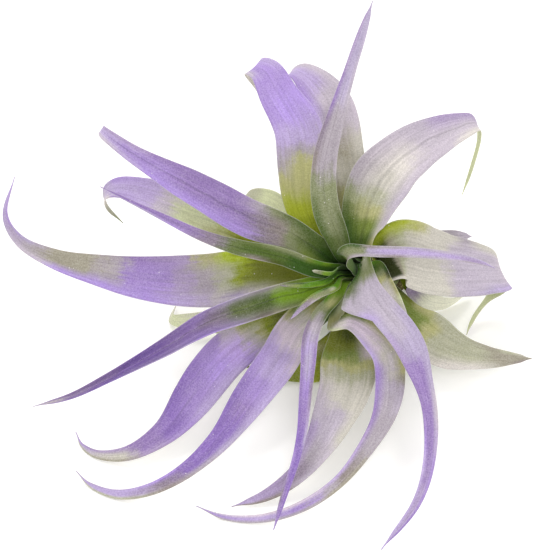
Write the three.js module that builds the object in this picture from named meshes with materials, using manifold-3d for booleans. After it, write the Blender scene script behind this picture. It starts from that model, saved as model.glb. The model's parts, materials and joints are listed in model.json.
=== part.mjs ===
// A broad-leaved air plant lying loose on a surface: 27 channelled, arching leaves round a short
// woody stem. Millimetres, +Z up. The origin is on the flat spot under the stem's cut end.

import * as THREE from 'three';
import { mergeVertices } from 'three/addons/utils/BufferGeometryUtils.js';
import Module from 'manifold-3d';

// ---- Driving dimensions -------------------------------------------------------------------

const BLADE_THICKNESS = 0.6;
const TIP_WIDTH = 0.9;
const STRIPS = 4; // across a blade
const FRAME_STEPS = 96; // along a leaf, for its frames; every leaf's segments divide this number

const STEM_END = new THREE.Vector3(2, 3, 3.7); // centre of the cut end
const GROWTH = new THREE.Vector3(-0.42, -0.64, 0.63).normalize();
const STEM_RADIUS = 6;
const STEM_TIP_RADIUS = 1.1;
const STEM_LENGTH = 28;
const STEM_TAPER_START = 2;
const COLLAR_RADIUS = 6.5; // a swelling close to the cut end
const COLLAR_RISE = 0.9;
const CUT_RADIUS = 5.2;

const STEM_SIDES = 18;

const ROOT_COUNT = 9; // stubs in a ring on the cut end
const ROOT_RADIUS = 0.6;
const ROOT_TIP_RADIUS = 0.36;
const ROOT_LENGTH = 5;
const ROOT_BURIED = 1; // length of a stub inside the stem
const ROOT_SIDES = 7;
const ROOT_RING = { least: 2.1, spread: 1.8 }; // radius of the ring, and its random part
const ROOT_SPLAY = { least: 0.35, spread: 0.5 }; // outward lean, as a share of the way down
const ROOT_TURN = 0.6; // random turn round the ring, as a share of the spacing
const ROOT_SEED = 11;

// Leaves sit on the stem in nested shells, counted from the heart outwards.
const SHELL_FOOT_START = 28;
const SHELL_FOOT_STEP = 3.2;
const SHELL_GAP = 0.7; // from the stem to the middle of a blade at its foot
const MOUTH_RADIUS = 2.2; // of the innermost shell where its leaves part from the rosette
const MOUTH_RADIUS_STEP = 1.25;
const MOUTH_START = 40; // height of that mouth up the growth axis
const MOUTH_STEP = 1.2; // drop from one shell to the next
const MOUTH_STEP_GROWTH = 0.2; // and how fast the drop grows

// ---- The leaves ---------------------------------------------------------------------------
// heading: degrees round the growth axis, 0 to the right, 90 upwards, seen from the tip end.
// grip: degrees of the stem that the sheath wraps. path: the midrib's route past the sheath's
// mouth. width, fold, roll, skew: values spread evenly from the mouth to the tip; the sheath sets
// the first width and fold. fold is the channel's angle across the blade, edges towards the upper
// face; roll turns the blade about its midrib; skew shifts it sideways; pleat lifts the midrib and
// the edges over two half channels; flare draws one margin out to a corner, 1 for the right margin
// and -1 for the left, over shares of the free blade.

const LEAVES = [
  {
    name: 'leaf_top_spear', shell: 2, heading: 95, grip: 80, color: '#a59bb0',
    path: [
      [-17, -15, 37.5], [-20.5, -11, 46], [-21, -4, 55], [-17.8, 6, 64], [-13.2, 20, 71],
      [-6, 42, 80],
    ],
    width: [9, 8.3, 7.2, 5, 3.8, 3, 1], fold: [90, 80, 70, 60, 40], roll: [0, 25, 25, 25, 25],
  },
  {
    name: 'leaf_top_left_arch', shell: 5, heading: 132, grip: 80, color: '#a18cd4', segments: 24,
    path: [
      [-22, -8, 30], [-26.1, -2, 36], [-26.8, 6, 43], [-28.2, 17, 50], [-33.8, 28, 53.5],
      [-38, 39, 54.3], [-41.8, 45, 51.3], [-40, 48, 41.5], [-38.2, 46.5, 34],
    ],
    width: [11, 15.5, 15.5, 12.7, 10, 6, 1.5], fold: [70, 50, 40, 40, 30], roll: [0, 15, 15, 5],
  },
  {
    name: 'leaf_top_back_arch', shell: 6, heading: 100, grip: 60, color: '#a79bb5', segments: 24,
    path: [
      [-12, 0, 31], [-13.5, 8, 38], [-15.8, 18, 44], [-18.5, 30, 49], [-24.5, 41, 50],
      [-28.5, 49, 46.5], [-31, 54, 40], [-30.5, 55, 30],
    ],
    width: [12, 14.5, 15.5, 13, 8, 4, 1.5], fold: [60, 50, 40, 40, 30], roll: [0, 20, 15, 10],
  },
  {
    name: 'leaf_right_upper_arch', shell: 4, heading: 72, grip: 90, color: '#b3a9b6', segments: 24,
    path: [
      [-9, -8.5, 34], [-7.2, -3.2, 39], [-1.6, 5.2, 43.3], [6.6, 13.3, 45.6], [15.1, 20.3, 45.6],
      [22.1, 26.2, 43.8], [26.7, 30.5, 41], [28.2, 31.5, 34], [26.5, 29.7, 23.2],
      [24.2, 28.2, 13.2],
    ],
    width: [16, 19.5, 17.2, 14.5, 11, 7.2, 3, 2, 1], fold: [80, 60, 45, 40, 40, 40],
    roll: [0, 26, 34, 37, 40, 40, 40, 40, 40, 35, 30], skew: [0, 0.6, 0, 0, 0, 0, 0, 0, 0, 0],
  },
  {
    name: 'leaf_right_broad', shell: 5, heading: 3, grip: 110, color: '#bdb3bc', segments: 24,
    path: [
      [2.5, -16.5, 28], [10.5, -17, 26.5], [17, -15.5, 23.8], [23.3, -13, 20.8],
      [29.4, -10.3, 17.7], [33.8, -8, 14.5], [33, -9, 9.5], [29.3, -11.5, 5.2], [26.4, -14.5, 2.8],
      [24.3, -18.5, 1.3], [23.3, -21.5, 0.8],
    ],
    width: [21, 21, 21, 20.5, 19.7, 17.6, 10, 3.5, 2.3, 1], fold: [60, 35, 30, 30, 30],
    roll: [0, 18, 15, 5, -5, -5, 0, 0],
    flare: { margin: -1, start: 0, peak: 0.1, end: 0.35, reach: 2 },
  },
  {
    name: 'leaf_right_hidden_tip', shell: 6, heading: 38, grip: 50, color: '#8f84a8',
    path: [[2, -9, 25], [9, -7, 24], [15, -3, 23], [20, 0, 22], [25, 2, 20]],
    width: [9, 9, 7, 4, 1.5], fold: [60, 50, 50], roll: [0, 0, 0],
  },
  {
    name: 'leaf_right_low', shell: 6, heading: 320, grip: 55, color: '#93a07a',
    path: [[2, -24, 16], [8, -30.2, 12.8], [17, -35.6, 9.6], [27, -39.2, 9.8], [41, -40, 10]],
    width: [9.5, 15, 13.2, 8.7, 5, 1.5], fold: [70, 50, 50, 50], roll: [0, -12, -12, -10],
  },
  {
    name: 'leaf_right_floor', shell: 8, heading: 352, grip: 42, color: '#b0b58c',
    path: [[8, -10.5, 10], [12, -11.5, 6], [15, -10.5, 3.8], [19, -9, 2.6], [25, -4, 2.2]],
    width: [7, 9, 7, 4, 1.5], fold: [50, 40, 40], roll: [0, -45, -40],
  },
  {
    name: 'leaf_front_sickle', shell: 2, heading: 3, grip: 68, color: '#b9a6dc', segments: 32,
    path: [
      [-8.8, -21.7, 34], [-8.1, -26.4, 32.9], [-6.6, -31.5, 30.9], [-3.6, -37.2, 29.5],
      [1.3, -44.9, 27.3], [5, -54, 24.3], [8.8, -68, 18], [8, -83, 12], [4, -95, 9], [-6, -108, 5],
    ],
    width: [6, 9.5, 9.3, 5.4, 4.2, 3.4, 2.4, 1], fold: [25, 40, 50, 50, 50],
    roll: [0, -60, -65, -75, -80], skew: [0, 0.5, 0.9, 0, 0, 0, 0, 0, 0],
    flare: { margin: 1, start: 0.09, peak: 0.175, end: 0.24, reach: 7.5 },
  },
  {
    name: 'leaf_front_margin', shell: 3, heading: 357, grip: 55, color: '#a9b583',
    path: [
      [-5.3, -21.5, 29], [-3, -27, 28.6], [-0.2, -32, 25.4], [2.3, -36, 21], [5, -38, 15],
      [7, -41, 10],
    ],
    width: [6, 6, 5, 4, 1], fold: [70, 60, 50], roll: [0, 0, 0],
  },
  {
    name: 'leaf_curled_ribbon', shell: 1, heading: 26, grip: 95, color: '#a79acb', segments: 24,
    path: [
      [-13.2, -25.6, 37.2], [-14.6, -27.1, 40], [-14.2, -27.3, 41.8], [-11.9, -27, 42.1],
      [-6, -26.7, 41.7], [2.6, -25.4, 40.2], [11, -23.7, 37.7], [19.8, -22.4, 34.7],
      [25.3, -21.9, 32.4], [30, -21.7, 29.8],
    ],
    width: [7.5, 4.2, 3.6, 3.2, 2.8, 2, 0.8], fold: [130, 60, 40, 40], roll: [0, 20, 45, 45, 50],
  },
  {
    name: 'leaf_left_upper_long', shell: 3, heading: 152, grip: 90, color: '#9f8cc9', segments: 24,
    path: [
      [-23, -16, 32], [-31, -16, 39], [-43, -15, 44], [-55, -12, 50.3], [-66, -9, 55.6],
      [-78, -5, 61.3], [-85.5, 0, 64], [-86.5, 5, 61], [-85.5, 7, 56],
    ],
    width: [9, 12, 12, 10, 6.5, 4, 1.5], fold: [90, 70, 60, 50], roll: [0, 0, 0],
  },
  {
    name: 'leaf_left_channel', shell: 1, heading: 170, grip: 75, color: '#7d9268',
    path: [
      [-24, -24, 32], [-34, -25, 38], [-46, -25.2, 41.8], [-57.3, -23.2, 45], [-70, -18.5, 48.8],
      [-87, -9, 51],
    ],
    width: [6, 6.2, 5.2, 3.6, 2.4, 1.2, 0.6], fold: [120, 100, 80, 60], roll: [0, 0, 0],
  },
  {
    name: 'leaf_left_hanging_tip', shell: 7, heading: 165, grip: 70, color: '#a999c4', segments: 24,
    path: [
      [-28, -5, 21], [-43, -4, 28], [-58, -2.3, 34], [-67, -0.7, 37.6], [-75.5, 3.5, 37.4],
      [-83, 7.5, 35.3], [-87.3, 10.5, 30], [-87.3, 12.3, 23], [-82.8, 12.8, 15.3],
    ],
    width: [11, 12, 11.5, 10.5, 7.5, 4, 1.2], fold: [60, 50, 50, 50], roll: [0, 0, 0],
  },
  {
    name: 'leaf_left_sweep', shell: 4, heading: 178, grip: 85, color: '#a694cb', segments: 24,
    path: [
      [-28, -17, 23], [-41, -18, 24], [-56, -19, 22], [-73, -18.2, 22], [-88, -15.6, 22.8],
      [-102, -10.6, 22.7], [-113, -4, 24], [-118, 5, 26], [-116, 18, 30],
    ],
    width: [13, 17, 16, 12.6, 8.3, 5, 2.4, 0.8], fold: [70, 50, 50, 50], roll: [0, 0, 0],
  },
  {
    name: 'leaf_left_double_fold', shell: 2, heading: 197, grip: 100, color: '#9c93b0', pleat: 1.1,
    path: [
      [-23, -25, 25], [-33, -29, 25], [-44, -34, 25], [-56, -39, 24], [-69, -46.3, 20.8],
      [-84, -53.6, 16.6], [-95, -58.3, 13.7], [-106, -60, 11],
    ],
    width: [9.5, 11, 9.5, 6.8, 4.3, 2.6, 1], fold: [90, 60, 50, 50], roll: [0, 0, 0],
  },
  {
    name: 'leaf_left_floor', shell: 8, heading: 205, grip: 50, color: '#b6bd8b',
    path: [
      [-25, -12, 6.5], [-37, -16, 5.5], [-48, -19, 4], [-56, -19, 4], [-62.5, -19, 4.2],
      [-67, -16, 2.2], [-66, -9, 1.2],
    ],
    width: [10, 10, 9, 7, 4, 1], fold: [50, 40, 30], roll: [0, 0, 0],
  },
  {
    name: 'leaf_front_left_floor', shell: 6, heading: 215, grip: 75, color: '#9c84d0', segments: 24,
    path: [
      [-26, -21, 11], [-38, -28, 9], [-50, -42, 11], [-60, -55, 8], [-68, -65, 5], [-78, -71, 3],
      [-87, -70, 1.2], [-92, -66, 0.8], [-94, -62, 2],
    ],
    width: [12, 13, 14, 12.5, 7, 3.5, 1], fold: [60, 50, 50], roll: [0, 0, 0],
    skew: [0, 0, 0.8, 1.2, 0.8, 0, 0, 0, 0],
  },
  {
    name: 'leaf_front_left_long', shell: 5, heading: 232, grip: 85, color: '#a78fd6', segments: 24,
    path: [
      [-23.5, -23.5, 12.5], [-29.5, -31, 12], [-35, -45, 13.5], [-43, -57, 11], [-52, -71, 8],
      [-62, -81, 6], [-72, -85, 3], [-81, -85, 1.2], [-89, -81, 0.8], [-93, -77, 2],
    ],
    width: [12, 12.5, 11, 7, 4.5, 3, 1], fold: [60, 50, 50], roll: [0, -15, -15, -15],
  },
  {
    name: 'leaf_front_needle', shell: 1, heading: 255, grip: 75, color: '#9b8bc4',
    path: [
      [-17.5, -29.5, 25], [-22, -36, 24.3], [-25, -43, 22], [-26, -53, 19], [-27, -63, 15],
      [-28, -73, 13], [-30, -82, 11], [-33, -91, 8], [-36, -101, 5],
    ],
    width: [5, 5.5, 4.5, 3.5, 2.5, 2, 1], fold: [110, 60, 50], roll: [0, -15, -15],
  },
  {
    name: 'leaf_front_floor', shell: 4, heading: 268, grip: 80, color: '#b0a9a6',
    path: [
      [-11.5, -27, 15.5], [-13, -34, 11], [-14.6, -51, 10], [-18.6, -63, 9], [-23.5, -73, 7],
      [-29.3, -80, 4], [-38, -86, 2], [-48, -89, 0.5],
    ],
    width: [11, 16.5, 15.5, 11, 6.6, 4, 1], fold: [70, 50, 50], roll: [0, -15, -25, -35],
  },
  {
    name: 'leaf_front_hook', shell: 3, heading: 280, grip: 85, color: '#aba3a9', segments: 24,
    path: [
      [-15, -28, 19], [-17, -34, 20], [-17, -38, 22], [-13, -39, 24], [-8, -42, 22], [-3, -47, 19],
      [-2, -52, 14], [-3.8, -64, 12], [-10.2, -75.7, 9], [-18, -85, 6], [-28, -91, 3],
      [-39, -94, 1.5], [-50, -93, 0.8], [-58, -90, 2],
    ],
    width: [6, 8, 9, 5.8, 3.9, 3.3, 2.3, 1], fold: [60, 50, 50, 50], roll: [0, 20, 45, 35, 28, 25],
  },
  {
    name: 'leaf_front_sheath', shell: 7, heading: 250, grip: 70, color: '#6d6f33',
    path: [[-14, -27, 5], [-21, -35, 3], [-29, -37, 3], [-38, -37, 2.7], [-44, -36, 2]],
    width: [10, 11, 10, 7, 2], fold: [50, 30, 30], roll: [0, -15, -25],
  },
  {
    name: 'leaf_back_left_floor', shell: 8, heading: 140, grip: 50, color: '#bcc488',
    path: [[-21, 4, 17], [-31, 10, 19], [-38, 17, 19], [-43, 22, 16], [-45, 24, 10], [-43, 23, 0.2]],
    width: [11, 12, 11, 8, 4, 1], fold: [50, 40, 40], roll: [0, 20, 20],
  },
  {
    name: 'leaf_heart_a', shell: 0, heading: 140, grip: 35, color: '#6f9a45', segments: 8,
    path: [[-19, -25, 31], [-24.5, -26.5, 33.5]],
    width: [1.8, 1.6, 1], fold: [60, 40], roll: [0, 0],
  },
  {
    name: 'leaf_heart_b', shell: 0, heading: 190, grip: 35, color: '#7fa04f', segments: 8,
    path: [[-20.5, -26, 28.5], [-26.5, -29, 30], [-34, -29.5, 30.5]],
    width: [2, 1.8, 1.4, 0.9], fold: [60, 40], roll: [0, 0],
  },
  {
    name: 'leaf_heart_c', shell: 0, heading: 240, grip: 35, color: '#8f86b8', segments: 12,
    path: [[-17.5, -28.5, 28.5], [-23, -33, 29.5], [-27.5, -37.5, 29.5], [-31, -40.5, 27.5]],
    width: [2.4, 2.6, 2.2, 0.9], fold: [60, 40], roll: [0, 0],
  },
];

// ---- Directions round the growth axis -----------------------------------------------------

const RIGHT = new THREE.Vector3(1, 0, 0).projectOnPlane(GROWTH).normalize();
const UPWARDS = new THREE.Vector3().crossVectors(GROWTH, RIGHT);

function outward(heading) {
  const angle = THREE.MathUtils.degToRad(heading);
  return RIGHT.clone().multiplyScalar(Math.cos(angle)).addScaledVector(UPWARDS, Math.sin(angle));
}

function besideStem(heading, along, radius) {
  return STEM_END.clone().addScaledVector(GROWTH, along).addScaledVector(outward(heading), radius);
}

function stemRadius(along) {
  const taper = THREE.MathUtils.clamp((along - STEM_TAPER_START) / (STEM_LENGTH - STEM_TAPER_START), 0, 1);
  return THREE.MathUtils.lerp(STEM_RADIUS, STEM_TIP_RADIUS, taper);
}

// ---- One leaf -----------------------------------------------------------------------------

// A smooth value from a list spread evenly over 0 to 1.
function along(list, share) {
  const place = share * (list.length - 1);
  const i = Math.min(Math.floor(place), list.length - 2);
  const f = place - i;
  const before = list[Math.max(i - 1, 0)];
  const [from, to] = [list[i], list[i + 1]];
  const after = list[Math.min(i + 2, list.length - 1)];
  const bend = 2 * before - 5 * from + 4 * to - after + f * (3 * (from - to) + after - before);
  return from + 0.5 * f * (to - before + f * bend);
}

function shellFoot(shell) {
  const rise = SHELL_FOOT_START - SHELL_FOOT_STEP * shell;
  return { rise, radius: stemRadius(rise) + SHELL_GAP };
}

function shellMouth(shell) {
  const rise = MOUTH_START - MOUTH_STEP * shell - MOUTH_STEP_GROWTH * shell * shell;
  return { rise, radius: MOUTH_RADIUS + MOUTH_RADIUS_STEP * shell };
}

// The midrib as a curve of equal steps, and the share of it that is sheath.
function midrib({ shell, heading, path }) {
  const foot = shellFoot(shell);
  const mouth = shellMouth(shell);
  const route = [
    besideStem(heading, foot.rise, foot.radius),
    besideStem(heading, (foot.rise + mouth.rise) / 2, (foot.radius + mouth.radius) / 2),
    besideStem(heading, mouth.rise, mouth.radius),
    ...path.map((point) => new THREE.Vector3(...point)),
  ];
  const curve = new THREE.CatmullRomCurve3(route, false, 'centripetal');
  curve.arcLengthDivisions = 10 * FRAME_STEPS;
  const points = curve.getSpacedPoints(FRAME_STEPS);
  const sheath = route[0].distanceTo(route[2]) / curve.getLength();
  return { points, sheath };
}

// How far a margin flares out at one place, past the blade's width.
function flareReach({ start, peak, end, reach }, free) {
  return reach * Math.max(Math.min((free - start) / (peak - start), (end - free) / (end - peak)), 0);
}

// Frames that follow the midrib without turning about it, then turned by the leaf's roll.
function leafFrames(leaf) {
  const { points, sheath } = midrib(leaf);
  const grip = THREE.MathUtils.degToRad(leaf.grip);
  const [foot, mouth] = [shellFoot(leaf.shell), shellMouth(leaf.shell)];
  const width = [grip * mouth.radius, ...leaf.width];
  const fold = [leaf.grip, ...leaf.fold];
  const face = outward(leaf.heading).negate();
  let previous = null;
  return points.map((point, i) => {
    const ahead = points[Math.min(i + 1, FRAME_STEPS)];
    const tangent = ahead.clone().sub(points[Math.max(i - 1, 0)]).normalize();
    if (previous) {
      face.applyQuaternion(new THREE.Quaternion().setFromUnitVectors(previous, tangent));
    }
    face.projectOnPlane(tangent).normalize();
    previous = tangent;
    const share = i / FRAME_STEPS;
    const free = Math.max((share - sheath) / (1 - sheath), 0);
    const sheathShare = Math.min(share / sheath, 1);
    const up = face.clone().applyAxisAngle(tangent, THREE.MathUtils.degToRad(along(leaf.roll, free)));
    const side = new THREE.Vector3().crossVectors(tangent, up);
    const sheathWidth = grip * THREE.MathUtils.lerp(foot.radius, mouth.radius, sheathShare);
    return {
      point, up, side, free,
      width: Math.max(free > 0 ? along(width, free) : sheathWidth, TIP_WIDTH),
      fold: THREE.MathUtils.degToRad(along(fold, free)),
      skew: leaf.skew ? along(leaf.skew, free) : 0,
      lift: (leaf.pleat ?? 0) * Math.sin(Math.PI * free),
      flare: leaf.flare ? leaf.flare.margin * flareReach(leaf.flare, free) : 0,
    };
  });
}

// A point of the blade's middle surface and its normal there; across runs from -1 to 1.
function bladePoint({ point, up, side, width, fold, skew, lift, flare }, across) {
  const radius = width / fold;
  const outer = Math.max(Math.sign(flare) * across, 0) * flare;
  const angle = (fold * across) / 2 + (skew + outer) / radius;
  const normal = up.clone().multiplyScalar(Math.cos(angle)).addScaledVector(side, -Math.sin(angle));
  const position = point.clone()
    .addScaledVector(side, radius * Math.sin(angle))
    .addScaledVector(up, radius * (1 - Math.cos(angle)))
    .addScaledVector(normal, lift * Math.cos(2 * Math.PI * across));
  return { position, normal };
}

// A closed blade: rings of points round each cross-section, upper face first, then lower face.
function leafGeometry(leaf) {
  const segments = leaf.segments ?? 16;
  const frames = leafFrames(leaf).filter((frame, i) => i % (FRAME_STEPS / segments) === 0);
  const positions = [];
  for (const frame of frames) {
    for (const face of [1, -1]) {
      for (let strip = 0; strip <= STRIPS; strip += 1) {
        const { position, normal } = bladePoint(frame, (2 * strip) / STRIPS - 1);
        positions.push(...position.addScaledVector(normal, (face * BLADE_THICKNESS) / 2));
      }
    }
  }
  const ring = 2 * (STRIPS + 1);
  const under = STRIPS + 1;
  const index = [];
  const quad = (a, b, c, d) => index.push(a, b, c, a, c, d);
  for (let segment = 0; segment < segments; segment += 1) {
    const near = segment * ring;
    const far = near + ring;
    for (let strip = 0; strip < STRIPS; strip += 1) {
      quad(near + strip, near + strip + 1, far + strip + 1, far + strip);
      quad(far + under + strip, far + under + strip + 1, near + under + strip + 1, near + under + strip);
    }
    quad(near + STRIPS, near + under + STRIPS, far + under + STRIPS, far + STRIPS);
    quad(near + under, near, far, far + under);
  }
  const last = segments * ring;
  for (let strip = 0; strip < STRIPS; strip += 1) {
    quad(under + strip, under + strip + 1, strip + 1, strip);
    quad(last + strip, last + strip + 1, last + under + strip + 1, last + under + strip);
  }
  const geometry = new THREE.BufferGeometry();
  geometry.setAttribute('position', new THREE.Float32BufferAttribute(positions, 3));
  geometry.setIndex(index);
  geometry.computeVertexNormals();
  return geometry;
}

function leafMesh(leaf) {
  const material = new THREE.MeshStandardMaterial({ color: leaf.color, roughness: 0.65, metalness: 0 });
  material.name = leaf.name;
  const mesh = new THREE.Mesh(leafGeometry(leaf), material);
  mesh.name = leaf.name;
  return mesh;
}

// ---- The stem -----------------------------------------------------------------------------

const wasm = await Module();
wasm.setup();

function toSolid(geometry) {
  const bare = geometry.clone();
  bare.deleteAttribute('normal');
  bare.deleteAttribute('uv');
  const merged = mergeVertices(bare, 1e-4);
  return new wasm.Manifold(new wasm.Mesh({
    numProp: 3,
    vertProperties: new Float32Array(merged.attributes.position.array),
    triVerts: new Uint32Array(merged.index.array),
  }));
}

function fromSolid(solid) {
  const mesh = solid.getMesh();
  const geometry = new THREE.BufferGeometry();
  geometry.setAttribute('position', new THREE.Float32BufferAttribute(mesh.vertProperties, 3));
  geometry.setIndex(Array.from(mesh.triVerts));
  geometry.computeVertexNormals();
  return geometry;
}

// A repeatable random number from 0 to 1.
function randomFrom(seed) {
  let state = seed;
  return () => {
    state = (state * 16807) % 2147483647;
    return state / 2147483647;
  };
}

function turnFromY(direction) {
  return new THREE.Quaternion().setFromUnitVectors(new THREE.Vector3(0, 1, 0), direction);
}

function stemBody() {
  const profile = [
    new THREE.Vector2(0, 0),
    new THREE.Vector2(CUT_RADIUS, 0),
    new THREE.Vector2(COLLAR_RADIUS, COLLAR_RISE),
    new THREE.Vector2(STEM_RADIUS, STEM_TAPER_START),
    new THREE.Vector2(STEM_TIP_RADIUS, STEM_LENGTH),
    new THREE.Vector2(0, STEM_LENGTH),
  ];
  const body = new THREE.LatheGeometry(profile, STEM_SIDES);
  return body.applyQuaternion(turnFromY(GROWTH)).translate(...STEM_END);
}

// Trimmed roots: short tapered stubs out of the cut end, in a ring with small random turns.
function rootStubs() {
  const random = randomFrom(ROOT_SEED);
  const pick = ({ least, spread }) => least + spread * random();
  const stubs = [];
  for (let i = 0; i < ROOT_COUNT; i += 1) {
    const heading = (360 * (i + ROOT_TURN * random())) / ROOT_COUNT;
    const direction = outward(heading).multiplyScalar(pick(ROOT_SPLAY)).sub(GROWTH).normalize();
    const stub = new THREE.CylinderGeometry(ROOT_TIP_RADIUS, ROOT_RADIUS, ROOT_LENGTH, ROOT_SIDES);
    stub.translate(0, ROOT_LENGTH / 2 - ROOT_BURIED, 0);
    stub.applyQuaternion(turnFromY(direction));
    stubs.push(stub.translate(...besideStem(heading, 0, pick(ROOT_RING))));
  }
  return stubs;
}

function stemMesh() {
  let solid = toSolid(stemBody());
  for (const stub of rootStubs()) {
    solid = solid.add(toSolid(stub));
  }
  // What reaches below the surface is cut away, which leaves the flat spot at the origin.
  const depth = 2 * ROOT_LENGTH;
  const below = new THREE.BoxGeometry(STEM_LENGTH, STEM_LENGTH, depth).translate(0, 0, -depth / 2);
  solid = solid.subtract(toSolid(below));
  const material = new THREE.MeshStandardMaterial({ color: '#6b5a3e', roughness: 0.9, metalness: 0 });
  material.name = 'stem';
  const mesh = new THREE.Mesh(fromSolid(solid), material);
  mesh.name = 'stem';
  return mesh;
}

// ---- The plant ----------------------------------------------------------------------------

const plant = new THREE.Group();
plant.name = 'air_plant';
plant.add(stemMesh());
for (const leaf of LEAVES) {
  plant.add(leafMesh(leaf));
}

export default plant;
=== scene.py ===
"""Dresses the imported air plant: fine channelled leaves with dyed, scaly skins, a woody stem with
trimmed roots, and a pale studio floor with soft light and a camera."""

import json
import math
import random
from functools import partial

import bmesh
import bpy
from bmesh.types import BMEdge, BMVert
from mathutils import Matrix, Quaternion, Vector

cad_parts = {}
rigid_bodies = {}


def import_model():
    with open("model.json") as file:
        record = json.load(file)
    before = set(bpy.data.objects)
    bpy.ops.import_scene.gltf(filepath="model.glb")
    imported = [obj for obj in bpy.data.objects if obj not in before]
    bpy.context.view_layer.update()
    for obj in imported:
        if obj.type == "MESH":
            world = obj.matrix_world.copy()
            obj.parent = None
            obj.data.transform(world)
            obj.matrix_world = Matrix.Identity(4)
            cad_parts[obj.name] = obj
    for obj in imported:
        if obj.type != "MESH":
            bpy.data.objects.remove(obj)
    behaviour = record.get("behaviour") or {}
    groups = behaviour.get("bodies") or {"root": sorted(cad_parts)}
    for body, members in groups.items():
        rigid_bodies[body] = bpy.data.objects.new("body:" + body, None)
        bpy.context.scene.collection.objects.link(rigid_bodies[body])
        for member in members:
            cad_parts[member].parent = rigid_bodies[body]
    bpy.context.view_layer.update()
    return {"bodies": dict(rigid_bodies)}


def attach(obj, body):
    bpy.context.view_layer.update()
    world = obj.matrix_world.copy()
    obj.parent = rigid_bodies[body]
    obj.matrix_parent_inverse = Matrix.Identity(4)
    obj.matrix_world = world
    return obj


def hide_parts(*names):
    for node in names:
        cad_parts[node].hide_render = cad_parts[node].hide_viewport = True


bl_info = {
    "name": "Dyed air plant",
    "version": (1, 0, 0),
    "blender": (4, 5, 0),
    "location": "View3D > Sidebar > Air plant",
    "description": "Builds the leaves, the stem and the studio of a broad-leaved air plant",
    "category": "Object",
}

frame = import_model()
BODY = next(iter(frame["bodies"]))
MM = 0.001

# ---- The plant's plan, in millimetres and degrees --------------------------------------------
# It is the solids' own plan, but for small changes of width and skew in four lower leaves.

STEM_END = Vector((2, 3, 3.7))
GROWTH = Vector((-0.42, -0.64, 0.63)).normalized()
STEM_RADIUS = 6
STEM_TIP_RADIUS = 1.1
STEM_LENGTH = 28
STEM_TAPER_START = 2
COLLAR_RADIUS = 6.5
COLLAR_RISE = 0.9
CUT_RADIUS = 5.2
STEM_SIDES = 36
STEM_STEP = 1.0  # length of a ring of faces

ROOT_COUNT = 9  # stubs in a ring on the cut end
ROOT_RADIUS = 0.6
ROOT_TIP_RADIUS = 0.36
ROOT_LENGTH = 5
ROOT_BURIED = 1  # length of a stub inside the stem
ROOT_RING = (2.1, 1.8)  # radius of the ring, and its random part
ROOT_SPLAY = (0.35, 0.5)  # outward lean, as a share of the way down
ROOT_TURN = 0.6  # random turn round the ring, as a share of the spacing
ROOT_SIDES = 14
ROOT_SEED = 11
ROOT_RANDOM_FACTOR = 16807  # the next random number is this many times the last,
ROOT_RANDOM_SPAN = 2147483647  # less the full spans in it

# Leaves stand in shells, 0 in the heart. Each next shell has its foot and its mouth lower, and
# is wider at the mouth.
SHELL_FOOT_START = 28
SHELL_FOOT_STEP = 3.2
SHELL_GAP = 0.7
MOUTH_RADIUS = 2.2
MOUTH_RADIUS_STEP = 1.25
MOUTH_START = 40
MOUTH_STEP = 1.2
MOUTH_STEP_GROWTH = 0.2

ACROSS = 18  # faces across a blade
FRAME_STEPS = 192  # faces along a leaf
CURVE_SAMPLES = 960  # steps that a leaf's curve is measured in
SHEATH_V = 0.15  # how far below 0 the map's V runs on the sheath

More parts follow.
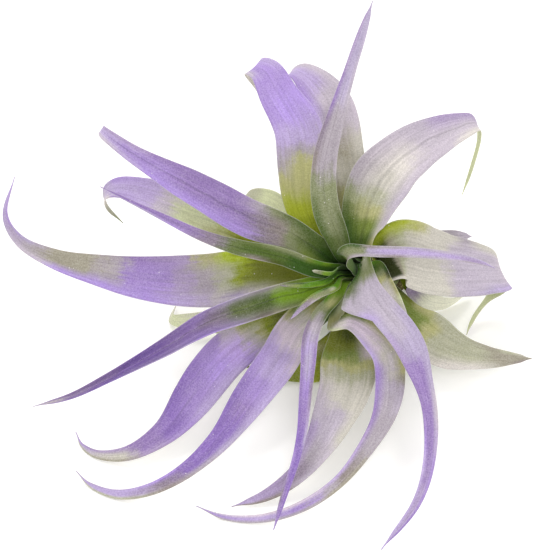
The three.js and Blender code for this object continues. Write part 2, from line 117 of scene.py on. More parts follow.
# Each leaf: shell and heading place its sheath round the growth axis, grip is the part of the
# stem it wraps, and path is the midrib's route past the sheath. width, fold, roll and skew are
# spread evenly from the sheath's mouth to the tip, as is pleat's lift of the midrib. flare draws
# one margin out: 1 for the right or -1 for the left, where it starts, peaks and ends, and how far.
# groove is how dark the painted shade along the midrib's groove is, scales gives how far up the
# leaf the silver cover starts and is full, and inner where the margin colours begin.
# Colours run along the free blade, 0 at the mouth and 1 at the tip: mid on the midrib, left and
# right on the margins, seen from the foot with the upper face up, and under on the lower face.
# Dark hues at the feet, in sheaths and channels, are painted shade, and some pale ones painted light.
LEAVES = {
    "leaf_top_spear": dict(
        shell=2, heading=95, grip=80,
        path=[(-17, -15, 37.5), (-20.5, -11, 46), (-21, -4, 55), (-17.8, 6, 64), (-13.2, 20, 71),
              (-6, 42, 80)],
        width=[9, 8.3, 7.2, 5, 3.8, 3, 1], fold=[90, 80, 70, 60, 40], roll=[0, 25, 25, 25, 25],
        scales=(0.02, 0.2), groove=0.06,
        mid={0: "leaf_green", 0.06: "sage_dark", 0.14: "sage", 0.27: "sage", 0.36: "mauve_grey",
             0.52: "mauve_grey", 0.64: "violet_silver"},
        left={0: "channel_shade", 0.06: "leaf_green", 0.16: "leaf_green", 0.22: "sage_dark",
              0.28: "sage", 0.36: "stone_dark", 0.45: "mauve_dark", 0.6: "violet_dull", 0.8: "mauve"},
        right={0: "channel_shade", 0.08: "leaf_green", 0.15: "sage_dark", 0.21: "sage", 0.27: "sage",
               0.36: "mauve_grey", 0.5: "mauve_grey", 0.6: "silver_mauve", 1: "violet_silver"},
    ),
    "leaf_top_left_arch": dict(
        shell=5, heading=132, grip=80,
        path=[(-22, -8, 30), (-26.1, -2, 36), (-26.8, 6, 43), (-28.2, 17, 50), (-33.8, 28, 53.5),
              (-38, 39, 54.3), (-41.8, 45, 51.3), (-40, 48, 41.5), (-38.2, 46.5, 34)],
        width=[11, 15.5, 15.5, 12.7, 10, 6, 1.5], fold=[70, 50, 40, 40, 30], roll=[0, 15, 15, 5],
        scales=(0.25, 0.42),
        mid={0.12: "lime", 0.18: "lime_bright", 0.27: "lime_grey", 0.33: "lime_grey",
             0.38: "mauve_grey", 0.44: "violet_pale", 0.54: "violet_bright", 0.66: "violet"},
        left={0.1: "olive", 0.14: "lime", 0.19: "lime_bright", 0.27: "lime_grey", 0.35: "mauve_grey",
              0.44: "violet_pale", 0.54: "violet", 0.68: "violet", 0.78: "silver_mauve"},
        right={0.14: "olive", 0.2: "lime", 0.28: "lime", 0.35: "lime_grey", 0.44: "violet_pale",
               0.55: "violet_bright", 0.66: "violet", 0.76: "violet_pale"},
        under={0: "lime", 0.4: "mauve_grey", 0.8: "tip_grey"},
    ),
    "leaf_top_back_arch": dict(
        shell=6, heading=100, grip=60,
        path=[(-12, 0, 31), (-13.5, 8, 38), (-15.8, 18, 44), (-18.5, 30, 49), (-24.5, 41, 50),
              (-28.5, 49, 46.5), (-31, 54, 40), (-30.5, 55, 30)],
        width=[12, 14.5, 15.5, 13, 8, 4, 1.5], fold=[60, 50, 40, 40, 30], roll=[0, 20, 15, 10],
        mid={0.07: "leaf_green", 0.13: "lime_grey", 0.18: "lime_grey", 0.24: "stone",
             0.34: "stone_olive", 0.45: "mauve_grey", 0.54: "pink_mauve", 0.66: "violet_pale",
             0.78: "violet_pale", 0.88: "pink_mauve"},
        left={0.12: "sage", 0.18: "stone_dark", 0.23: "mauve_grey", 0.35: "silver_mauve",
              0.44: "violet_pale", 0.54: "violet_bright", 0.68: "violet"},
        right={0.06: "lime", 0.13: "lime_grey", 0.21: "stone", 0.36: "stone", 0.46: "pink_mauve",
               0.74: "pink_mauve", 0.86: "silver_mauve"},
        under={0: "lime", 0.6: "stone", 0.85: "tip_grey"},
    ),
    "leaf_right_upper_arch": dict(
        shell=4, heading=72, grip=90,
        path=[(-9, -8.5, 34), (-7.2, -3.2, 39), (-1.6, 5.2, 43.3), (6.6, 13.3, 45.6),
              (15.1, 20.3, 45.6), (22.1, 26.2, 43.8), (26.7, 30.5, 41), (28.2, 31.5, 34),
              (26.5, 29.7, 23.2), (24.2, 28.2, 13.2)],
        width=[16, 19.5, 17.2, 14.5, 11, 7.2, 3, 2, 1], fold=[80, 60, 45, 40, 40, 40],
        roll=[0, 26, 34, 37, 40, 40, 40, 40, 40, 35, 30], skew=[0, 0.6, 0, 0, 0, 0, 0, 0, 0, 0],
        scales=(0.06, 0.2), groove=0.2, inner=(0.55, 0.62),
        mid={0.03: "leaf_green", 0.08: "moss", 0.13: "lime_grey", 0.18: "silver_green", 0.23: "stone",
             0.34: "tip_grey", 0.45: "pink_mauve", 0.66: "pink_mauve", 0.75: "violet_silver",
             0.84: "pink_mauve"},
        left={0.07: "channel_shade", 0.1: "leaf_green", 0.13: "sage_dark", 0.16: "sage",
              0.2: "mauve_grey", 0.35: "pink_mauve", 0.45: "silver_mauve", 0.55: "mauve", 0.7: "mauve",
              0.86: "mauve_dark"},
        right={0.02: "lime_grey", 0.05: "stone", 0.12: "pink_mauve", 0.2: "silver_mauve",
               0.28: "pink_mauve", 0.52: "pink_mauve", 0.6: "tip_grey"},
        under={0: "lime", 0.6: "silver_green", 0.75: "pale_green"},
    ),
    "leaf_right_broad": dict(
        shell=5, heading=3, grip=110,
        path=[(2.5, -16.5, 28), (10.5, -17, 26.5), (17, -15.5, 23.8), (23.3, -13, 20.8),
              (29.4, -10.3, 17.7), (33.8, -8, 14.5), (33, -9, 9.5), (29.3, -11.5, 5.2),
              (26.4, -14.5, 2.8), (24.3, -18.5, 1.3), (23.3, -21.5, 0.8)],
        width=[21, 21, 21, 20.5, 19.7, 17.6, 10, 3.5, 2.3, 1], fold=[60, 35, 30, 30, 30],
        roll=[0, 18, 15, 5, -5, -5, 0, 0], flare=(-1, 0, 0.1, 0.35, 2), scales=(0.08, 0.14),
        inner=(0.24, 0.76),
        mid={0.06: "hollow", 0.08: "stone_olive", 0.1: "silver_green", 0.13: "stone", 0.27: "stone",
             0.36: "silver_mauve", 0.56: "silver_mauve", 0.65: "pink_mauve", 0.76: "rose_grey",
             0.86: "tip_grey", 1: "violet_pale"},
        left={0.06: "lime", 0.1: "lime_bright", 0.14: "lime_grey", 0.21: "stone", 0.35: "stone",
              0.45: "mauve_grey", 0.56: "stone", 0.66: "stone", 0.75: "silver_green",
              0.86: "stone_olive"},
        right={0.01: "lime", 0.03: "tip_grey", 0.1: "tip_grey", 0.16: "stone", 0.27: "stone",
               0.36: "silver_mauve", 0.5: "violet_silver", 0.64: "violet_pale", 0.76: "violet_pale",
               0.86: "rose_grey"},
        under={0: "olive", 0.4: "silver_green", 0.8: "pale_green"},
    ),
    "leaf_right_hidden_tip": dict(
        shell=6, heading=38, grip=50,
        path=[(2, -9, 25), (9, -7, 24), (15, -3, 23), (20, 0, 22), (25, 2, 20)],
        width=[9, 9, 7, 4, 1.5], fold=[60, 50, 50], roll=[0, 0, 0],
        mid={0.11: "hollow", 0.14: "olive_shade", 0.2: "olive", 0.25: "lime", 0.3: "lime_grey",
             0.36: "stone_olive", 0.45: "mauve_grey", 0.55: "violet_silver", 0.66: "mauve_grey",
             1: "silver_mauve"},
    ),
    "leaf_right_low": dict(
        shell=6, heading=320, grip=55,
        path=[(2, -24, 16), (8, -30.2, 12.8), (17, -35.6, 9.6), (27, -39.2, 9.8), (41, -40, 10)],
        width=[9.5, 15, 13.2, 8.7, 5, 1.5], fold=[70, 50, 50, 50], roll=[0, -12, -12, -10],
        inner=(0.3, 0.58),
        mid={0.27: "moss", 0.35: "lime_grey", 0.44: "silver_green", 0.66: "silver_green",
             0.82: "stone_olive"},
        left={0.08: "olive_shade", 0.15: "olive", 0.2: "lime_grey", 0.28: "lime_grey",
              0.35: "silver_green", 0.6: "silver_green", 0.76: "stone_olive", 0.86: "silver_green",
              1: "stone"},
        right={0.05: "leaf_green", 0.2: "moss", 0.34: "lime_grey", 0.43: "stone", 0.55: "tip_grey",
               0.66: "tip_grey", 0.75: "stone", 0.85: "stone_olive", 0.96: "stone_dark"},
    ),
    "leaf_right_floor": dict(
        shell=8, heading=352, grip=42,
        path=[(8, -10.5, 10), (12, -11.5, 6), (15, -10.5, 3.8), (19, -9, 2.6), (25, -4, 2.2)],
        width=[7, 9, 7, 4, 1.5], fold=[50, 40, 40], roll=[0, -45, -40],
        mid={0: "lime", 0.3: "mauve", 0.45: "bleached"},
    ),
    "leaf_front_sickle": dict(
        shell=2, heading=3, grip=68,
        path=[(-8.8, -21.7, 34), (-8.1, -26.4, 32.9), (-6.6, -31.5, 30.9), (-3.6, -37.2, 29.5),
              (1.3, -44.9, 27.3), (5, -54, 24.3), (8.8, -68, 18), (8, -83, 12), (4, -95, 9),
              (-6, -108, 5)],
        width=[6, 9.5, 9.3, 5.4, 4.2, 3.4, 2.4, 1], fold=[25, 40, 50, 50, 50],
        roll=[0, -60, -65, -75, -80], skew=[0, 0.5, 0.9, 0, 0, 0, 0, 0, 0],
        flare=(1, 0.09, 0.175, 0.24, 7.5),
        mid={0.05: "silver_green", 0.1: "sage", 0.14: "silver_mauve", 0.27: "silver_mauve",
             0.35: "violet_silver", 0.44: "violet_dull", 0.7: "violet_dull", 0.8: "mauve",
             0.88: "mauve", 1: "violet_pale"},
        left={0.06: "moss", 0.1: "sage", 0.14: "silver_mauve", 0.22: "silver_mauve",
              0.28: "violet_silver", 0.45: "violet_silver", 0.55: "pink_mauve", 0.75: "violet",
              1: "violet_deep"},
        right={0.1: "channel_shade", 0.14: "sage_dark", 0.18: "silver_mauve", 0.23: "violet_pale",
               0.28: "violet_silver", 0.35: "mauve", 0.45: "violet_dull", 0.56: "violet_dull",
               0.65: "violet", 0.75: "violet_pale"},
    ),
    "leaf_front_margin": dict(
        shell=3, heading=357, grip=55,
        path=[(-5.3, -21.5, 29), (-3, -27, 28.6), (-0.2, -32, 25.4), (2.3, -36, 21), (5, -38, 15),
              (7, -41, 10)],
        width=[6, 6, 5, 4, 1], fold=[70, 60, 50], roll=[0, 0, 0],
        mid={0.06: "channel_shade", 0.1: "leaf_green", 0.15: "sage", 0.21: "lime_grey", 0.27: "stone",
             0.36: "tip_grey", 0.45: "stone", 0.66: "pale_green"},
        left={0.05: "heart_green", 0.11: "leaf_green", 0.14: "channel_shade", 0.2: "hollow",
              0.23: "olive_shade", 0.26: "lime_grey", 0.36: "lime_grey", 0.44: "pale_green",
              0.55: "pink_mauve", 0.66: "stone"},
    ),
    "leaf_curled_ribbon": dict(
        shell=1, heading=26, grip=95,
        path=[(-13.2, -25.6, 37.2), (-14.6, -27.1, 40), (-14.2, -27.3, 41.8), (-11.9, -27, 42.1),
              (-6, -26.7, 41.7), (2.6, -25.4, 40.2), (11, -23.7, 37.7), (19.8, -22.4, 34.7),
              (25.3, -21.9, 32.4), (30, -21.7, 29.8)],
        width=[7.5, 4.2, 3.6, 3.2, 2.8, 2, 0.8], fold=[130, 60, 40, 40], roll=[0, 20, 45, 45, 50],
        mid={0.05: "sage_dark", 0.15: "silver_green", 0.22: "sage", 0.29: "sage", 0.34: "violet_silver",
             0.44: "violet_pale", 0.75: "violet_pale", 0.86: "mauve"},
        left={0.06: "moss", 0.1: "heart_green", 0.17: "channel_shade", 0.22: "leaf_green",
              0.27: "channel_shade", 0.33: "stone_dark", 0.43: "mauve_grey", 0.55: "violet_silver",
              0.7: "silver_mauve", 0.84: "violet_silver", 1: "violet_pale"},
        right={0.14: "channel_shade", 0.18: "sage", 0.22: "stone_dark", 0.27: "mauve_grey",
               0.37: "mauve_grey", 0.45: "stone_dark", 0.54: "silver_mauve", 0.75: "silver_mauve",
               0.86: "mauve_grey"},
        under={0.05: "channel_shade", 0.25: "leaf_green", 0.4: "violet_silver"},
    ),
    "leaf_left_upper_long": dict(
        shell=3, heading=152, grip=90,
        path=[(-23, -16, 32), (-31, -16, 39), (-43, -15, 44), (-55, -12, 50.3), (-66, -9, 55.6),
              (-78, -5, 61.3), (-85.5, 0, 64), (-86.5, 5, 61), (-85.5, 7, 56)],
        width=[9, 12, 12, 10, 6.5, 4, 1.5], fold=[90, 70, 60, 50], roll=[0, 0, 0], scales=(0.02, 0.3),
        groove=0.26, inner=(0.46, 0.54),
        mid={0.06: "channel_shade", 0.11: "leaf_green", 0.15: "sage_dark", 0.19: "sage",
             0.24: "stone_dark", 0.3: "mauve_dark", 0.37: "violet_dull", 0.56: "violet_dull",
             0.66: "violet", 0.76: "violet", 0.86: "violet_pale"},
        left={0.12: "moss", 0.18: "sage", 0.23: "stone_dark", 0.28: "mauve_dark", 0.34: "violet_bright",
              0.68: "violet_bright", 0.76: "violet_pale", 0.88: "pink_mauve"},
        right={0.18: "leaf_green", 0.22: "sage_dark", 0.27: "sage", 0.34: "mauve_grey",
               0.44: "violet_dull", 0.66: "violet_dull", 0.8: "mauve"},
        under={0: "leaf_green", 0.4: "mauve_grey", 0.85: "tip_grey"},
    ),
    "leaf_left_channel": dict(
        shell=1, heading=170, grip=75,
        path=[(-24, -24, 32), (-34, -25, 38), (-46, -25.2, 41.8), (-57.3, -23.2, 45),
              (-70, -18.5, 48.8), (-87, -9, 51)],
        width=[6, 6.2, 5.2, 3.6, 2.4, 1.2, 0.6], fold=[120, 100, 80, 60], roll=[0, 0, 0],
        scales=(0.3, 0.62), groove=0.3,
        mid={0.2: "channel_shade", 0.27: "leaf_green", 0.38: "leaf_green", 0.46: "sage_dark",
             0.54: "mauve_dark", 0.62: "violet_dull", 1: "violet_deep"},
        left={0.22: "channel_shade", 0.28: "olive_shade", 0.35: "stone_dark", 0.45: "sage_dark",
              0.55: "mauve_dark", 0.66: "violet", 0.8: "violet_silver"},
        right={0.02: "heart_green", 0.06: "fresh_green", 0.1: "heart_green", 0.15: "moss", 0.19: "sage",
               0.28: "sage", 0.34: "sage_dark", 0.45: "sage_dark", 0.55: "mauve_dark",
               0.65: "violet_dull", 0.87: "violet_dull", 1: "mauve"},
    ),
    "leaf_left_hanging_tip": dict(
        shell=7, heading=165, grip=70,
        path=[(-28, -5, 21), (-43, -4, 28), (-58, -2.3, 34), (-67, -0.7, 37.6), (-75.5, 3.5, 37.4),
              (-83, 7.5, 35.3), (-87.3, 10.5, 30), (-87.3, 12.3, 23), (-82.8, 12.8, 15.3)],
        width=[11, 12, 11.5, 10.5, 7.5, 4, 1.2], fold=[60, 50, 50, 50], roll=[0, 0, 0],
        scales=(0.3, 0.5),
        mid={0.2: "lime", 0.32: "lime_bright", 0.42: "pale_green", 0.5: "pale_green",
             0.56: "pink_mauve", 0.65: "violet_pale", 0.76: "violet_pale", 0.86: "pink_mauve"},
        left={0.3: "olive", 0.4: "lime_grey", 0.5: "pale_green", 0.58: "pink_mauve",
              0.66: "violet_pale", 0.76: "violet", 0.84: "tip_grey"},
        right={0.3: "lime_glow", 0.42: "lime", 0.48: "lime_grey", 0.56: "pink_mauve",
               0.63: "violet_pale", 0.76: "violet", 0.84: "violet_silver"},
        under={0: "lime", 0.6: "mauve_grey", 0.8: "tip_grey", 1: "sage"},
    ),
    "leaf_left_sweep": dict(
        shell=4, heading=178, grip=85,
        path=[(-28, -17, 23), (-41, -18, 24), (-56, -19, 22), (-73, -18.2, 22), (-88, -15.6, 22.8),
              (-102, -10.6, 22.7), (-113, -4, 24), (-118, 5, 26), (-116, 18, 30)],
        width=[13, 17, 16, 12.6, 8.3, 5, 2.4, 0.8], fold=[70, 50, 50, 50], roll=[0, 0, 0],
        scales=(0.15, 0.35), groove=0.07, inner=(0.42, 0.6),
        mid={0.04: "lime", 0.13: "olive", 0.19: "olive", 0.23: "lime", 0.27: "silver_green",
             0.32: "mauve_grey", 0.37: "mauve", 0.42: "violet", 0.48: "violet", 0.54: "mauve_grey",
             0.62: "stone_olive", 0.7: "stone_olive", 0.77: "mauve_grey", 0.86: "mauve",
             1: "violet_pale"},
        left={0.04: "lime", 0.12: "lime_grey", 0.18: "tip_grey", 0.23: "violet_pale",
              0.28: "pink_mauve", 0.36: "violet_pale", 0.45: "violet_bright", 0.66: "violet_bright",
              0.76: "pink_mauve", 0.86: "violet_silver", 1: "violet_deep"},
        right={0.12: "lime_bright", 0.2: "lime", 0.24: "lime_glow", 0.31: "lime_grey", 0.36: "mauve",
               0.48: "violet_dull", 0.54: "mauve_grey", 0.62: "stone_olive", 0.7: "stone_olive",
               0.78: "violet_silver", 0.88: "violet"},
        under={0: "lime", 0.4: "mauve_grey", 1: "mauve"},
    ),
    "leaf_left_double_fold": dict(
        shell=2, heading=197, grip=100,
        path=[(-23, -25, 25), (-33, -29, 25), (-44, -34, 25), (-56, -39, 24), (-69, -46.3, 20.8),
              (-84, -53.6, 16.6), (-95, -58.3, 13.7), (-106, -60, 11)],
        width=[9.5, 10.4, 8.9, 6.6, 4.3, 2.6, 1], fold=[90, 60, 50, 50], roll=[0, 0, 0],
        skew=[0, 0.3, 0.3, 0.1, 0, 0, 0], pleat=1.1, scales=(0.1, 0.4), groove=0.5, inner=(0.44, 0.56),
        mid={0.18: "fresh_green", 0.24: "leaf_green", 0.32: "sage_dark", 0.4: "mauve_dark",
             0.5: "violet_dull", 0.66: "violet_deep", 0.76: "violet_dull", 0.87: "mauve",
             1: "tip_grey"},
        left={0.05: "fresh_green", 0.12: "moss", 0.17: "sage", 0.22: "stone_olive", 0.26: "stone_dark",
              0.3: "mauve_grey", 0.36: "violet_pale", 0.44: "violet_bright", 0.54: "violet_pale",
              0.66: "violet_pale", 0.75: "violet_bright", 0.86: "violet", 1: "violet_pale"},
        right={0.05: "heart_green", 0.1: "fresh_green", 0.14: "moss", 0.18: "silver_green",
               0.24: "mauve_grey", 0.35: "violet_silver", 0.45: "violet", 0.55: "violet_dull",
               0.65: "violet_deep", 0.76: "violet_dull", 0.86: "violet_dull", 1: "violet"},
        under={0: "leaf_green", 0.5: "mauve_grey", 1: "tip_grey"},
    ),
    "leaf_left_floor": dict(
        shell=8, heading=205, grip=50,
        path=[(-25, -12, 6.5), (-37, -16, 5.5), (-48, -19, 4), (-56, -19, 4), (-62.5, -19, 4.2),
              (-67, -16, 2.2), (-66, -9, 1.2)],
        width=[10, 10, 9, 7, 4, 1], fold=[50, 40, 30], roll=[0, 0, 0],
        mid={0: "olive", 0.3: "lime_grey", 0.38: "tip_grey", 0.56: "tip_grey", 0.68: "bleached",
             0.85: "pale_green", 1: "tip_grey"},
        left={0.2: "heart_green", 0.3: "lime", 0.45: "lime_bright", 0.55: "lime_glow",
              0.64: "pale_green", 0.85: "pale_green", 1: "stone"},
    ),
    "leaf_front_left_floor": dict(
        shell=6, heading=215, grip=75,
        path=[(-26, -21, 11), (-38, -28, 9), (-50, -42, 11), (-60, -55, 8), (-68, -65, 5),
              (-78, -71, 3), (-87, -70, 1.2), (-92, -66, 0.8), (-94, -62, 2)],
        width=[12, 13, 14, 12.5, 7, 3.5, 1], fold=[60, 50, 50], roll=[0, 0, 0],
        skew=[0, 0, 0.8, 1.2, 0.8, 0, 0, 0, 0], groove=0.12, inner=(0.42, 0.46),
        mid={0.04: "lime_glow", 0.09: "lime_grey", 0.13: "olive", 0.19: "olive", 0.225: "lime",
             0.25: "lime_grey", 0.275: "stone", 0.31: "pink_mauve", 0.36: "violet_light",
             0.45: "violet_bright", 0.55: "violet", 0.67: "violet_deep", 0.76: "violet_dull",
             0.84: "stone", 1: "violet_pale"},
        left={0.16: "lime", 0.22: "tip_grey", 0.27: "pink_mauve", 0.34: "violet_bright",
              0.44: "violet_pale", 0.56: "violet_pale", 0.65: "violet", 0.75: "mauve",
              0.84: "stone_olive", 1: "silver_green"},
        right={0.08: "lime", 0.14: "moss", 0.2: "olive", 0.29: "lime", 0.32: "lime_grey",
               0.36: "pink_mauve", 0.42: "violet", 0.55: "violet_deep", 0.64: "violet_deep",
               0.76: "violet_dull", 0.86: "mauve", 1: "violet"},
        under={0: "lime", 0.5: "mauve_grey", 0.8: "stone_olive"},
    ),
    "leaf_front_left_long": dict(
        shell=5, heading=232, grip=85,
        path=[(-23.5, -23.5, 12.5), (-29.5, -31, 12), (-35, -45, 13.5), (-43, -57, 11), (-52, -71, 8),
              (-62, -81, 6), (-72, -85, 3), (-81, -85, 1.2), (-89, -81, 0.8), (-93, -77, 2)],
        width=[12, 12.5, 11, 7, 4.5, 3, 1], fold=[60, 50, 50], roll=[0, -15, -15, -15], groove=0.1,
        mid={0.05: "olive", 0.09: "lime_grey", 0.13: "tip_grey", 0.17: "rose_grey", 0.21: "rose_grey",
             0.28: "violet_pale", 0.34: "violet_pale", 0.4: "violet", 0.47: "violet_dull",
             0.55: "violet_deep", 0.66: "violet_deep", 0.75: "mauve_dark", 0.85: "violet_pale"},
        left={0.06: "channel_shade", 0.1: "leaf_green", 0.15: "sage", 0.2: "tip_grey",
              0.27: "rose_grey", 0.35: "violet_pale", 0.46: "violet_pale", 0.56: "violet_silver",
              0.66: "mauve_grey", 0.75: "stone_dark", 0.85: "silver_green"},
        right={0.05: "olive", 0.12: "moss", 0.15: "lime_grey", 0.18: "rose_grey", 0.25: "violet_pale",
               0.34: "violet", 0.44: "violet_deep", 0.67: "violet_deep", 0.75: "violet_bright",
               0.85: "violet_pale", 1: "mauve"},
        under={0: "olive", 0.5: "mauve_grey", 0.75: "stone_olive"},
    ),
    "leaf_front_needle": dict(
        shell=1, heading=255, grip=75,
        path=[(-17.5, -29.5, 25), (-22, -36, 24.3), (-25, -43, 22), (-26, -53, 19), (-27, -63, 15),
              (-28, -73, 13), (-30, -82, 11), (-33, -91, 8), (-36, -101, 5)],
        width=[5, 5.5, 4.5, 3.5, 2.5, 2, 1], fold=[110, 60, 50], roll=[0, -15, -15], groove=0.1,
        mid={0.05: "fresh_green", 0.1: "lime_grey", 0.15: "sage", 0.19: "mauve_grey",
             0.23: "pink_mauve", 0.3: "violet_pale", 0.36: "violet_silver", 0.45: "violet",
             0.55: "violet_dull", 0.65: "violet_deep", 0.78: "violet_deep", 0.87: "violet_dull"},
        left={0.03: "fresh_green", 0.1: "moss", 0.14: "leaf_green", 0.18: "sage_dark",
              0.22: "mauve_grey", 0.28: "mauve", 0.36: "violet_dull", 0.46: "mauve_dark", 0.55: "mauve",
              0.66: "violet_silver", 0.74: "violet_deep"},
        right={0.06: "fresh_green", 0.1: "heart_green", 0.14: "sage", 0.18: "sage", 0.23: "mauve_dark",
               0.34: "violet_dull", 0.45: "violet_dull", 0.56: "violet_deep", 0.66: "violet_deep",
               0.75: "violet", 0.86: "mauve_dark", 1: "violet"},
    ),
    "leaf_front_floor": dict(
        shell=4, heading=268, grip=80,
        path=[(-11.5, -27, 15.5), (-13, -34, 11), (-14.6, -51, 10), (-18.6, -63, 9), (-23.5, -73, 7),
              (-29.3, -80, 4), (-38, -86, 2), (-48, -89, 0.5)],
        width=[12, 17.3, 15.5, 11, 6.6, 4, 1], fold=[70, 50, 50], roll=[0, -15, -25, -35],
        skew=[0.5, 0.5, 0, 0, 0, 0, 0], scales=(0.12, 0.3), groove=0.08,
        mid={0.1: "olive", 0.14: "olive_shade", 0.19: "olive", 0.24: "moss", 0.28: "lime_grey",
             0.33: "silver_green", 0.38: "stone", 0.44: "stone", 0.5: "silver_mauve",
             0.58: "silver_mauve", 0.67: "mauve_grey", 0.76: "mauve_dark", 0.85: "mauve",
             1: "violet_pale"},
        left={0.05: "lime", 0.1: "moss", 0.14: "lime_grey", 0.18: "stone", 0.22: "rose_grey",
              0.27: "lime_grey", 0.33: "silver_green", 0.38: "stone", 0.56: "stone", 0.65: "pink_mauve",
              0.75: "silver_mauve", 0.85: "stone_dark"},
        right={0.05: "sage", 0.14: "olive", 0.19: "olive", 0.24: "moss", 0.28: "lime_grey",
               0.34: "stone", 0.45: "pink_mauve", 0.53: "silver_mauve", 0.6: "mauve"},
        under={0: "olive", 0.5: "stone", 0.75: "stone_olive"},
    ),
    "leaf_front_hook": dict(
        shell=3, heading=280, grip=85,
        path=[(-15, -28, 19), (-17, -34, 20), (-17, -38, 22), (-13, -39, 24), (-8, -42, 22),
              (-3, -47, 19), (-2, -52, 14), (-3.8, -64, 12), (-10.2, -75.7, 9), (-18, -85, 6),
              (-28, -91, 3), (-39, -94, 1.5), (-50, -93, 0.8), (-58, -90, 2)],
        width=[6, 9.4, 9, 5.8, 3.9, 3.3, 2.3, 1], fold=[60, 50, 50, 50], roll=[0, 20, 45, 35, 28, 25],
        mid={0.04: "pale_green", 0.1: "lime_grey", 0.14: "tip_grey", 0.18: "rose_grey",
             0.22: "rose_grey", 0.28: "stone", 0.36: "silver_mauve", 0.45: "mauve_grey",
             0.54: "mauve_grey", 0.63: "stone_dark", 0.68: "mauve_grey", 0.75: "violet",
             0.86: "violet_pale", 1: "violet"},
        left={0.1: "pale_green", 0.14: "olive_shade", 0.18: "moss", 0.22: "lime_grey", 0.29: "lime_grey",
              0.34: "stone_olive", 0.4: "silver_mauve", 0.47: "mauve_grey", 0.54: "mauve_grey",
              0.6: "stone_olive", 0.66: "stone_olive", 0.75: "mauve_grey"},
        right={0.06: "leaf_green", 0.1: "lime_grey", 0.14: "pale_green", 0.18: "pink_mauve",
               0.23: "violet_pale", 0.28: "violet_pale", 0.35: "violet", 0.45: "violet_dull",
               0.55: "mauve", 0.65: "violet_pale", 0.75: "rose_grey", 0.85: "rose_grey",
               1: "violet_silver"},
        under={0: "pale_green", 0.15: "lime_grey", 0.4: "stone_olive"},
    ),
    "leaf_front_sheath": dict(
        shell=7, heading=250, grip=70,
        path=[(-14, -27, 5), (-21, -35, 3), (-29, -37, 3), (-38, -37, 2.7), (-44, -36, 2)],
        width=[10, 12, 11, 7, 2], fold=[50, 30, 30], roll=[0, -15, -25],
        mid={0.22: "hollow", 0.27: "olive_shade", 0.33: "olive_shade", 0.39: "olive", 0.5: "lime",
             0.55: "lime_bright", 0.65: "lime", 0.85: "olive"},
        right={0.22: "olive_shade", 0.29: "olive", 0.35: "lime_bright", 0.45: "lime_grey",
               0.55: "lime_bright", 0.7: "lime", 0.85: "olive"},
    ),
    "leaf_back_left_floor": dict(
        shell=8, heading=140, grip=50,
        path=[(-21, 4, 17), (-31, 10, 19), (-38, 17, 19), (-43, 22, 16), (-45, 24, 10), (-43, 23, 0.2)],
        width=[11, 12, 11, 8, 4, 1], fold=[50, 40, 40], roll=[0, 20, 20], scales=(0.3, 0.7),
        mid={0.2: "lime", 0.32: "lime_grey", 0.42: "pale_green", 0.56: "pale_green",
             0.7: "silver_green"},
    ),
    "leaf_heart_a": dict(
        shell=0, heading=140, grip=35,
        path=[(-19, -25, 31), (-24.5, -26.5, 33.5)],
        width=[1.8, 1.6, 1], fold=[60, 40], roll=[0, 0], scales=(0.2, 0.8),
        mid={0: "channel_shade", 0.3: "heart_green", 0.6: "fresh_green", 0.8: "sage",
             1: "silver_green"},
    ),
    "leaf_heart_b": dict(
        shell=0, heading=190, grip=35,
        path=[(-20.5, -26, 28.5), (-26.5, -29, 30), (-34, -29.5, 30.5)],
        width=[2, 1.8, 1.4, 0.9], fold=[60, 40], roll=[0, 0], scales=(0.4, 0.9),
        mid={0.14: "channel_shade", 0.34: "heart_green", 0.6: "heart_green", 0.75: "moss", 0.85: "sage",
             1: "mauve_dark"},
        left={0.2: "heart_green", 0.34: "fresh_green", 0.5: "fresh_green", 0.65: "heart_green",
              0.78: "moss", 1: "mauve_dark"},
        right={0.3: "channel_shade", 0.45: "heart_green", 0.56: "heart_green", 0.68: "channel_shade",
               0.85: "sage_dark"},
    ),
    "leaf_heart_c": dict(
        shell=0, heading=240, grip=35,
        path=[(-17.5, -28.5, 28.5), (-23, -33, 29.5), (-27.5, -37.5, 29.5), (-31, -40.5, 27.5)],
        width=[2.4, 2.6, 2.2, 0.9], fold=[60, 40], roll=[0, 0], scales=(0.2, 0.8),
        mid={0.2: "heart_green", 0.27: "silver_green", 0.36: "sage", 0.56: "sage", 0.65: "stone_dark",
             0.76: "mauve_dark", 1: "mauve"},
        left={0.3: "moss", 0.4: "sage", 0.56: "stone_olive", 0.65: "mauve_grey", 0.75: "mauve_dark",
              1: "mauve"},
        right={0.25: "heart_green", 0.36: "channel_shade", 0.46: "heart_green", 0.56: "moss",
               0.75: "moss", 0.86: "leaf_green"},
    ),
}
